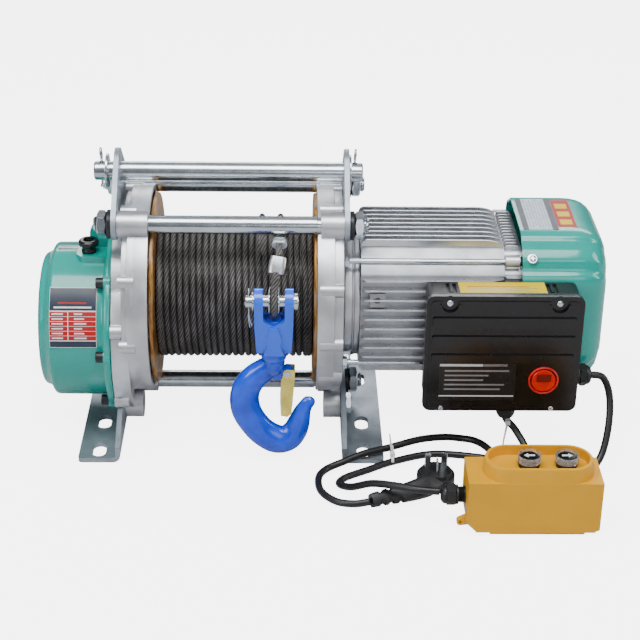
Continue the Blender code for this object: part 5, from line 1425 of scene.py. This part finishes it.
def control_box():
    low = BASE_LOW + Vector((1.5, -LID_FORWARD, 0))
    high = BASE_HIGH + Vector((3.5, 0, 0))
    back = -80.4
    front = low.y
    outline = rounded_box((low.x, low.z), (high.x, high.z), 7)
    body = plate_mesh("box", [outline], front, back, "XZ")
    room = plate_mesh("room", [rounded_box((low.x + 2.6, low.z + 2.6), (high.x - 2.6, high.z - 2.6), 5)],
                      front - 10, back - 2.6, "XZ")
    steps = [("-", room), ("+", box_mesh("neck", (200, back - 1, 100), (270, -MOTOR_HIGH.y - 0.3, 170)))]
    for x in (low.x + 23, high.x - 27):
        for shift in (-3.2, 3.2):
            steps.append(("-", box_mesh("slot", (x + shift - 1.8, front + 4, high.z - 2.0),
                                        (x + shift + 1.8, back - 4, high.z + 4))))
        steps.append(("-", box_mesh("slot", (x - 5, front + 4, high.z - 2.0),
                                    (x + 5, front + 8, high.z + 4))))
    steps.append(("-", hole_x(-92, 88, 8.8, high.x - 8, high.x + 8)))
    steps.append(("-", cylinder_mesh("hole", (272, -92, low.z - 8), (272, -92, low.z + 8), 6)))
    steps.append(("+", plate_mesh("rim",
                                  [rounded_box((low.x - 1.2, low.z - 1.2), (high.x + 1.2, high.z + 1.2),
                                               8),
                                   rounded_box((low.x + 2.6, low.z + 2.6), (high.x - 2.6, high.z - 2.6),
                                               5)], front, front + 3.2, "XZ")))
    place("control_box_shell", merge(body, *steps), BLACK, stands_for=("control_box_base",), bevel=0.8,
          segments=3)
    place("box_label",
          plate_mesh("label",
                     [[(218.5, front + 2.6), (302.5, front + 2.6), (302.0, back - 1.2),
                       (218.0, back - 1.2)]], high.z - 0.2, high.z + 0.25, "XY"), LABEL_YELLOW)
    for row in range(4):
        y = front + 7.0 + row * 3.8
        end = 294 - 8 * (row % 2)
        field(f"box_label_row_{row}", (226, y), (end, y + 1.0), (high.z, high.z + 0.32),
              LABEL_GREY if row < 3 else LABEL_RED, "XY")

    lid_low = LID_LOW + Vector((1.0, -LID_FORWARD, -0.5))
    lid_high = LID_HIGH + Vector((4.5, -LID_FORWARD, 0))
    inner_front = lid_low.y + 1.0
    lid = plate_mesh("lid", [rounded_box((lid_low.x, lid_low.z), (lid_high.x, lid_high.z), 8)],
                     inner_front, lid_high.y, "XZ")
    panel = plate_mesh("panel",
                       [rounded_box((lid_low.x + 4.2, lid_low.z + 2.4),
                                    (lid_high.x - 4.2, lid_high.z - 5), 5)], inner_front - 1.0,
                       inner_front + 1, "XZ")
    screws = [(lid_low.x + 22.5, lid_high.z - 8.2), (lid_high.x - 24.0, lid_high.z - 8.2)]
    feet = [(lid_low.x + 18.5, lid_low.z + 1.0), (lid_high.x - 24.5, lid_low.z + 1.0)]
    bites = [("-", cylinder_mesh("bite", (x, inner_front - 5, z), (x, inner_front + sink, z), radius,
                                 steps=48))
             for places, sink, radius in ((screws, 0.6, 9.2), (feet, 0.8, 7.5)) for x, z in places]
    steps = [("+", merge(panel, *bites))]
    for top in (163.5, 143.5, 123.5):
        bottom = top - 11.0 if top > 125 else top - 9.5
        band = plate_mesh("band", [rounded_box((lid_low.x + 6.6, bottom), (lid_high.x - 6.6, top), 1.6, 4)],
                          inner_front - 3.2, inner_front, "XZ")
        steps.append(("+", band))
    for x, z in screws:
        cup = cylinder_mesh("cup", (x, inner_front - 2.0, z), (x, inner_front + 2, z), 10.6, steps=56)
        hollow = cylinder_mesh("hollow", (x, inner_front - 5, z), (x, inner_front + 1.5, z), 8.4, steps=56)
        clip = box_mesh("clip", (x - 20, inner_front - 9, z), (x + 20, inner_front + 9, z + 30))
        steps.append(("+", merge(cup, ("-", clip))))
        steps.append(("-", hollow))
    steps.append(("-", cylinder_mesh("hole", (SWITCH.x, lid_low.y - 9, SWITCH.z),
                                     (SWITCH.x, -100, SWITCH.z), 13.6, steps=64)))
    place("control_box_cover", merge(lid, *steps), BLACK_GLOSS, stands_for=("control_box_lid",),
          bevel=0.9, segments=3)
    for index, (x, z) in enumerate(screws):
        phillips(f"lid_screw_{index}", (x, inner_front + 1.5, z), (0, -1, 0), 3.4)
    for index, (x, z) in enumerate(feet):
        phillips(f"lid_foot_screw_{index}", (x, inner_front + 0.8, z + 1.5), (0, -1, 0), 2.6)

    face = inner_front - 1.0
    left = lid_low.x + 15.5
    right = lid_low.x + 90
    place("box_plate",
          plate_mesh("plate", [rounded_box((left, 72.5), (right, 119.5), 1.5, 4)], face - 0.35,
                     face + 0.4, "XZ"), LABEL_BLACK)
    field("box_plate_header", (left, 110.5), (left + 42, 116), (face - 0.55, face), LABEL_WHITE)
    field("box_plate_header_end", (left + 42.5, 110.5), (left + 66, 116), (face - 0.55, face), LABEL_GREY)
    for row, length in enumerate((68, 48, 43, 64, 60)):
        z = 104.6 - row * 5.1
        field(f"box_plate_row_{row}", (left + 5, z), (left + length, z + 1.7), (face - 0.5, face),
              LABEL_GREY)
    field("box_plate_line", (left, 77), (right - 1, 78.1), (face - 0.5, face), LABEL_WHITE)

    bezel = turned_mesh("bezel",
                        rounded([(14.9, face - 2.0), (14.9, face + 1.5), (13.0, face + 1.5),
                                 (13.0, face - 2.0)], 0.7, 3), SWITCH, along="Y", steps=72)
    place("switch_bezel", bezel, RED_LENS)
    switch_low, switch_high = box_of("rocker_switch")
    outer = switch_low.y - LID_FORWARD
    disc = turned_mesh("disc",
                       rounded([(0, outer + 0.9), (8, outer + 0.4), (11.8, outer), (11.8, switch_high.y),
                                (0, switch_high.y)], 0.8, 3), SWITCH, along="Y", steps=64)
    place("switch_rocker", disc, RED_LENS, "rocker", ("rocker_switch",))
    place("switch_rocker_mark",
          plate_mesh("mark", [rounded_box((296, 94.5), (310, 102.5), 1, 4)], outer + 0.2, outer + 1.8,
                     "XZ"), RED_MARK, "rocker")

    gland_x(334.0, 354.3, -92, 88, 8.5, 22.4, "power_gland", 1)
    low_g, high_g = box_of("control_gland")
    low_g.z = CONTROL_GLAND_END
    profile = [(0, high_g.z), (9.2, high_g.z), (9.2, high_g.z - 3), (7.2, high_g.z - 3.4),
               (7.2, high_g.z - 4.2), (9.6, high_g.z - 4.8), (9.6, low_g.z + 5), (7.4, low_g.z + 0.4),
               (4.2, low_g.z), (0, low_g.z)]
    place("control_gland_turned",
          turned_mesh("gland", rounded(profile, 0.5, 2), (272, -92, 0), along="Z", steps=12), BLACK,
          stands_for=("control_gland",), smooth=20, bevel=0.3)


def gland_x(start, end, y, z, neck_r, flats, node, way):
    """A cable gland along x: threaded neck, collar, hexagon and domed end."""
    def at(distance):
        return start + way * distance

    length = abs(end - start)
    ring = [(0, at(0)), (neck_r, at(0)), (neck_r, at(1)),
            *[(neck_r - 0.9 * (k % 2), at(1 + k * 0.9)) for k in range(6)], (neck_r, at(6.4)),
            (neck_r + 1.3, at(6.6)), (neck_r + 1.3, at(8.2)), (0, at(8.2))]
    neck = turned_mesh("neck", ring, (0, y, z), steps=64)
    low, high = sorted((at(8.0), at(length - 4.5)))
    hexagon = nut_mesh(y, z, low, high, flats=flats - 2.4, bore=0.05, turn=0.26)
    r = flats / 2 - 1.6
    dome = [(0, at(length - 5)), (r, at(length - 5)), (r, at(length - 3.4)), (r * 0.86, at(length - 1.2)),
            (r * 0.62, at(length)), (4.4, at(length)), (0, at(length))]
    dome = turned_mesh("dome", rounded(dome, 0.6, 3), (0, y, z), steps=64)
    place(node + "_moulded", merge(neck, ("+", hexagon), ("+", dome)), BLACK, stands_for=(node,),
          bevel=0.3, segments=2)


# --- pendant -------------------------------------------------------------------------------------


def stadium(low, high):
    radius = (high[1] - low[1]) / 2
    mid = (low[1] + high[1]) / 2
    return arc((high[0] - radius, mid), radius, -90, 90, 33) + arc((low[0] + radius, mid), radius, 90,
                                                                   270, 33)


BUTTON_SHIFT = -2.0  # both buttons sit this much left of their CAD solids


def pendant():
    low = PENDANT_LOW
    high = PENDANT_HIGH + Vector((-5.0, -9.5, 0))
    top = 57.5
    mid_y = (low.y + high.y) / 2
    edge = [(low.x, top), (low.x, 14), (low.x + 9, low.z + 1.5), (low.x + 9, low.z + 0.5),
            (high.x - 4, low.z + 0.5), (high.x - 4, low.z + 1.5), (high.x, 7), (high.x, top)]
    body = plate_mesh("shell", [edge], low.y, high.y, "XZ")
    base = plate_mesh("base",
                      [[(low.x + 20, low.z + 2), (low.x + 23, low.z - 2.6), (high.x - 14, low.z - 2.6),
                        (high.x - 12, low.z + 2)]], low.y + 2, high.y - 2, "XZ")
    collar_low = (low.x + 16, low.y + 1.2)
    collar_high = (high.x - 8, high.y - 1.2)
    outer = loft([[(x, y, z) for x, y in stadium((collar_low[0] - grow, collar_low[1] - grow * 0.5),
                                                 (collar_high[0] + grow, collar_high[1] + grow * 0.5))]
                  for z, grow in ((40, 1.8), (56, 1.6), (69, 0.2), (71.4, 0), (72.2, -0.6))], "collar")
    inner = plate_mesh("recess",
                       [stadium((collar_low[0] + 3, collar_low[1] + 3),
                                (collar_high[0] - 3, collar_high[1] - 3))], 62.5, 86, "XY")
    steps = [("+", base), ("+", outer), ("-", inner)]
    for name in ("up_button", "down_button"):
        x = middle_of(name).x + BUTTON_SHIFT
        steps.append(("+", turned_mesh("ring", [(12.8, 63.3), (12.8, 60), (9, 60), (9, 63.3)],
                                       (x, mid_y, 0), along="Z", steps=64)))
    for name in ("up_button", "down_button"):
        x = middle_of(name).x + BUTTON_SHIFT
        steps.append(("-", cylinder_mesh("well", (x, mid_y, 30), (x, mid_y, 80), 9.8, steps=64)))
    hook_tab = merge(plate_mesh("tab", [hull([((low.x - 5, 10), 3.4), ((low.x + 4, 13), 5.0)])],
                                low.y + 8, low.y + 14, "XZ"),
                     ("-", cylinder_mesh("eye", (low.x - 5, low.y, 10), (low.x - 5, low.y + 20, 10), 1.5,
                                         steps=24)))
    steps.append(("+", hook_tab))
    place("pendant_shell", merge(body, *steps), YELLOW, stands_for=("pendant_body",), bevel=1.8,
          segments=4, smooth=32)

    for name, way in (("up_button", -1), ("down_button", 1)):
        x = middle_of(name).x + BUTTON_SHIFT
        cap_low, cap_high = box_of(name)
        z = cap_high.z + 4.5
        base = [(0, z - 1.0), (7.4, z - 1.2), (9.0, z - 2.0), (9.6, z - 3.4), (9.6, z - 6.8),
                (11.0, z - 7.2), (11.0, z - 8.4), (9.3, z - 8.8), (9.3, cap_low.z), (0, cap_low.z)]
        place(name + "_plunger",
              turned_mesh(name, rounded(base, 0.4, 2), (x, mid_y, 0), along="Z", steps=64), BLACK_GLOSS,
              name, (name,))
        ring = [(11.0, z - 1.0), (10.5, z), (9.9, z), (9.7, z - 0.7), (9.7, z - 6.7), (11.0, z - 6.7)]
        place(name + "_cap", turned_mesh(name, ring, (x, mid_y, 0), along="Z", steps=64), CLEAR_CAP, name)
        arrow = [(x + way * 5.2, mid_y), (x + way * 1.2, mid_y + 3.4), (x + way * 1.2, mid_y + 1.2),
                 (x - way * 4.8, mid_y + 1.2), (x - way * 4.8, mid_y - 1.2), (x + way * 1.2, mid_y - 1.2),
                 (x + way * 1.2, mid_y - 3.4)]
        place(name + "_arrow", plate_mesh("arrow", [arrow], z - 1.6, z - 0.8, "XY"), LABEL_WHITE, name)
    gland_x(219.7, 197.0, mid_y, 31, 8.0, 20.8, "pendant_gland", -1)


# --- cables and plug -----------------------------------------------------------------------------


def cables():
    radius = 3.6
    floor = radius + 0.6
    pendant_line = [(196.2, -217.5, 31), (178, -215, 31), (155, -203, 28), (134, -190, 22),
                    (115, -176, 9), (104, -163, floor), (110, -152, floor), (132, -138, floor),
                    (160, -121, floor), (200, -107, floor), (246, -113, floor), (262, -122, floor),
                    (282, -130, floor), (293, -117, 12), (283, -98, 27), (272.8, -92.8, 38),
                    (272, -92, 48.8)]
    place("pendant_cable_sheath", tube_mesh("pendant_cable", through(pendant_line, 10), radius, 28), RUBBER,
          stands_for=("pendant_cable",))
    power_line = [(354.0, -92, 88), (367, -93, 85), (374, -100, 66), (372, -116, 38), (362, -134, 14),
                  (340, -152, floor), (302, -160, floor), (272, -143, 8), (256, -113, 12.8),
                  (244, -96, 12.8), (228.6, -88, 11.5), (211, -86, 11.5), (186, -93, 12.5),
                  (156, -105, 10.5), (130, -116, 10), (110, -126, 7), (92, -136, floor),
                  (84, -152, floor), (86, -176, floor), (100, -194, floor), (117, -201, 6),
                  (131.6, -202, 9)]
    place("power_cable_sheath", tube_mesh("power_cable", through(power_line, 10), radius, 28), RUBBER,
          stands_for=("power_cable",))

    def strap(name, centre, half_y, half_z, width, tail):
        ring = []
        for step in range(33):
            a = 2 * math.pi * step / 32
            ring.append(Vector(centre) + Vector((0, half_y * math.cos(a), half_z * math.sin(a))))
        section = [(-0.55, -width / 2), (0.55, -width / 2), (0.55, width / 2), (-0.55, width / 2)]
        rings = []
        for index in range(32):
            out = (ring[index] - Vector(centre)).normalized()
            rings.append([ring[index] + out * u + Vector((1, 0, 0)) * v for u, v in section])
        band = loft(rings, "band", closed=True)
        lock = box_mesh("lock", Vector(tail[0]) - Vector((2.4, 2.2, 2)),
                        Vector(tail[0]) + Vector((2.4, 2.2, 2.4)))
        line = through(tail, 8)
        strip = []
        for index, point in enumerate(line):
            share = index / (len(line) - 1)
            w = width / 2 * (1 - 0.55 * share)
            strip.append([point + Vector((u, v, 0))
                          for u, v in ((-w, -0.45), (w, -0.45), (w, 0.45), (-w, 0.45))])
        place(name, joined(name, [band, lock, loft(strip, "tail")]), WHITE, bevel=0.2, segments=2)

    strap("cable_tie_front", (158, -113.0, 7.9), 13.0, 6.6, 2.8,
          [(158, -122.5, 13), (156, -121, 24), (154.5, -119, 35)])
    tail_top = (274, -99.6, 37)
    strap("cable_tie_box", (274, -93.8, 36), 4.9, 4.9, 2.6,
          [tail_top, (272.5, -101, 28), (270.5, -104, 17), (270, -107, 8)])


def plug():
    relief = through([(133, -201.4, 10), (150, -195, 10.6), (170, -188.2, 11.6), (186, -180, 12.4),
                      (196, -170, 12.6)], 14)

    def section(index, share):
        width = 6.4 + 4.4 * min(1.0, share * 1.25)
        height = 6.2 + 2.6 * min(1.0, share * 1.25)
        for mark in (0.16, 0.27, 0.38):
            if abs(share - mark) < 0.022:
                width *= 0.74
        points = []
        for step in range(32):
            a = 2 * math.pi * step / 32
            c = math.copysign(abs(math.cos(a)) ** 0.55, math.cos(a))
            s = math.copysign(abs(math.sin(a)) ** 0.55, math.sin(a))
            points.append((width * c, height * s))
        return points

    arm = sweep("relief", relief, section)
    head = turned_mesh("head",
                       rounded([(0, 19), (15.2, 19), (15.6, 15.4), (18.6, 14.8), (18.6, 3.5), (17.2, 1.8),
                                (0, 1.8)], 0.8, 3), (198, -160, 0), along="Z", steps=96)
    block = plate_mesh("block", [rounded_box((191, -177), (204, -169), 1.5, 4)], 12, 20.6, "XY")
    place("plug_moulding", merge(head, ("+", arm), ("+", block)), BLACK, stands_for=("mains_plug",),
          bevel=0.5, segments=2)
    blades = []
    for x, y, angle in ((190, -156, 0.5), (206, -156, -0.5), (198, -168, 1.57)):
        blade = plate_mesh("blade",
                           [[(-3.1, 17), (-3.1, 34.6), (-1.9, 36), (1.9, 36), (3.1, 34.6), (3.1, 17)]],
                           -0.85, 0.85, "XZ")
        blade.transform(TO_WORLD @ Matrix.Translation((x, y, 0)) @ Matrix.Rotation(angle, 4,
                                                                                   "Z") @ FROM_WORLD)
        blades.append(blade)
    place("plug_blades", joined("blades", blades), ZINC, bevel=0.2, segments=2)


# --- build ---------------------------------------------------------------------------------------


def finish_cad_nodes():
    """Materials and soft edges for the CAD nodes that stay in view or inside."""
    looks = {"left_drum_bearing": STEEL, "right_drum_bearing": STEEL, "drum_output_gear": STEEL,
             "countershaft": STEEL, "motor_shaft": STEEL, "rotor": STEEL, "stator": COPPER,
             "cooling_fan": BLACK, "run_capacitor": CAPACITOR}
    for name, look in looks.items():
        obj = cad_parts[name]
        obj.data.materials.clear()
        obj.data.materials.append(look)
        obj.data.shade_smooth()
        obj.data.set_sharp_from_angle(angle=math.radians(35))
        soften(obj, 0.4, 2)


def studio():
    """A pale floor and white surroundings for the camera; reflections see softboxes and a dim sky."""
    floor = bpy.data.meshes.new("floor")
    corners = ((-1, -1), (1, -1), (1, 1), (-1, 1))
    floor.from_pydata([(FLOOR_REACH * u, FLOOR_REACH * v, FLOOR_LEVEL) for u, v in corners], [],
                      [(0, 1, 2, 3)])
    sheet = bpy.data.objects.new("floor", floor)
    bpy.context.scene.collection.objects.link(sheet)
    floor.materials.append(paper_floor())

    world = bpy.data.worlds.new("studio")
    bpy.context.scene.world = world
    world.use_nodes = True
    tree = world.node_tree
    sky = tree.nodes["Background"]
    coords = tree.nodes.new("ShaderNodeTexCoord")
    split = tree.nodes.new("ShaderNodeSeparateXYZ")
    tree.links.new(coords.outputs["Generated"], split.inputs["Vector"])
    ramp = tree.nodes.new("ShaderNodeValToRGB")
    tree.links.new(split.outputs["Z"], ramp.inputs["Fac"])
    stops = ramp.color_ramp.elements
    stops[0].position = 0.0
    stops[0].color = (0.30, 0.32, 0.35, 1)
    stops[1].position = 1.0
    stops[1].color = (1.0, 1.0, 1.0, 1)
    middle = stops.new(0.45)
    middle.color = (0.42, 0.44, 0.47, 1)
    tree.links.new(ramp.outputs["Color"], sky.inputs["Color"])
    sky.inputs["Strength"].default_value = SKY
    white = tree.nodes.new("ShaderNodeBackground")
    white.inputs["Strength"].default_value = BACKDROP
    show_camera(tree, white.outputs[0], sky.outputs[0], tree.nodes["World Output"].inputs["Surface"])

    middle = Vector(((cad_low[0] + cad_high[0]) / 2, (cad_low[1] + cad_high[1]) / 2, 0.12))
    for name, offset, size, power in SOFTBOXES:
        light = bpy.data.lights.new(name, "AREA")
        light.shape = "RECTANGLE"
        light.energy = power
        light.size = size[0]
        light.size_y = size[1]
        lamp = bpy.data.objects.new(name, light)
        bpy.context.scene.collection.objects.link(lamp)
        lamp.location = middle + Vector(offset)
        lamp.rotation_euler = (middle - lamp.location).to_track_quat("-Z", "Y").to_euler()


def show_camera(tree, direct, others, output):
    """Sends one shader to the camera's own rays and another to all the rest."""
    path = tree.nodes.new("ShaderNodeLightPath")
    choose = tree.nodes.new("ShaderNodeMixShader")
    tree.links.new(path.outputs["Is Camera Ray"], choose.inputs[0])
    tree.links.new(others, choose.inputs[1])
    tree.links.new(direct, choose.inputs[2])
    tree.links.new(choose.outputs[0], output)


def paper_floor():
    """Pale paper: the camera sees it nearly white, reflections see a soft grey."""
    graph = Graph("paper_floor")
    fibre = graph.noise(400, 2.0)
    graph.link(graph.ramp(fibre, 0.3, 0.7, (0.52, 0.52, 0.53), (0.56, 0.56, 0.57)),
               graph.shader.inputs["Base Color"])
    graph.shader.inputs["Roughness"].default_value = 0.9
    graph.shader.inputs["Specular IOR Level"].default_value = 0.1
    glow = graph.add("ShaderNodeEmission")
    glow.inputs["Strength"].default_value = BACKDROP
    bright = graph.add("ShaderNodeAddShader")
    graph.link(graph.shader.outputs[0], bright.inputs[0])
    graph.link(glow.outputs[0], bright.inputs[1])
    show_camera(graph.tree, bright.outputs[0], graph.shader.outputs[0],
                graph.tree.nodes["Material Output"].inputs["Surface"])
    return graph.material


def camera():
    """In front of the hoist and raised, with a long lens."""
    data = bpy.data.cameras.new("camera")
    data.lens = CAMERA_LENS
    data.sensor_width = 36
    cam = bpy.data.objects.new("camera", data)
    bpy.context.scene.collection.objects.link(cam)
    pitch, yaw, roll = (math.radians(v) for v in (CAMERA_PITCH, CAMERA_YAW, CAMERA_ROLL))
    ahead = Vector((math.sin(yaw) * math.cos(pitch), math.cos(yaw) * math.cos(pitch), -math.sin(pitch)))
    side = Vector((math.cos(yaw), -math.sin(yaw), 0))
    up = side.cross(ahead)
    right = side * math.cos(roll) + up * math.sin(roll)
    top = up * math.cos(roll) - side * math.sin(roll)
    turn = Matrix((right, top, -ahead)).transposed().to_4x4()
    cam.matrix_world = Matrix.Translation(CAMERA_AT) @ turn
    bpy.context.scene.camera = cam


for build in (left_frame, right_frame, tie_rods, nuts_and_washers, suspension):
    build()
for side in ("left", "right"):
    foot(side)
for build in (foot_bolts, gear_case, drum, wound_rope, free_rope, clevis, hook, latch, motor, cowl,
              control_box, pendant, cables, plug, finish_cad_nodes, studio, camera):
    build()
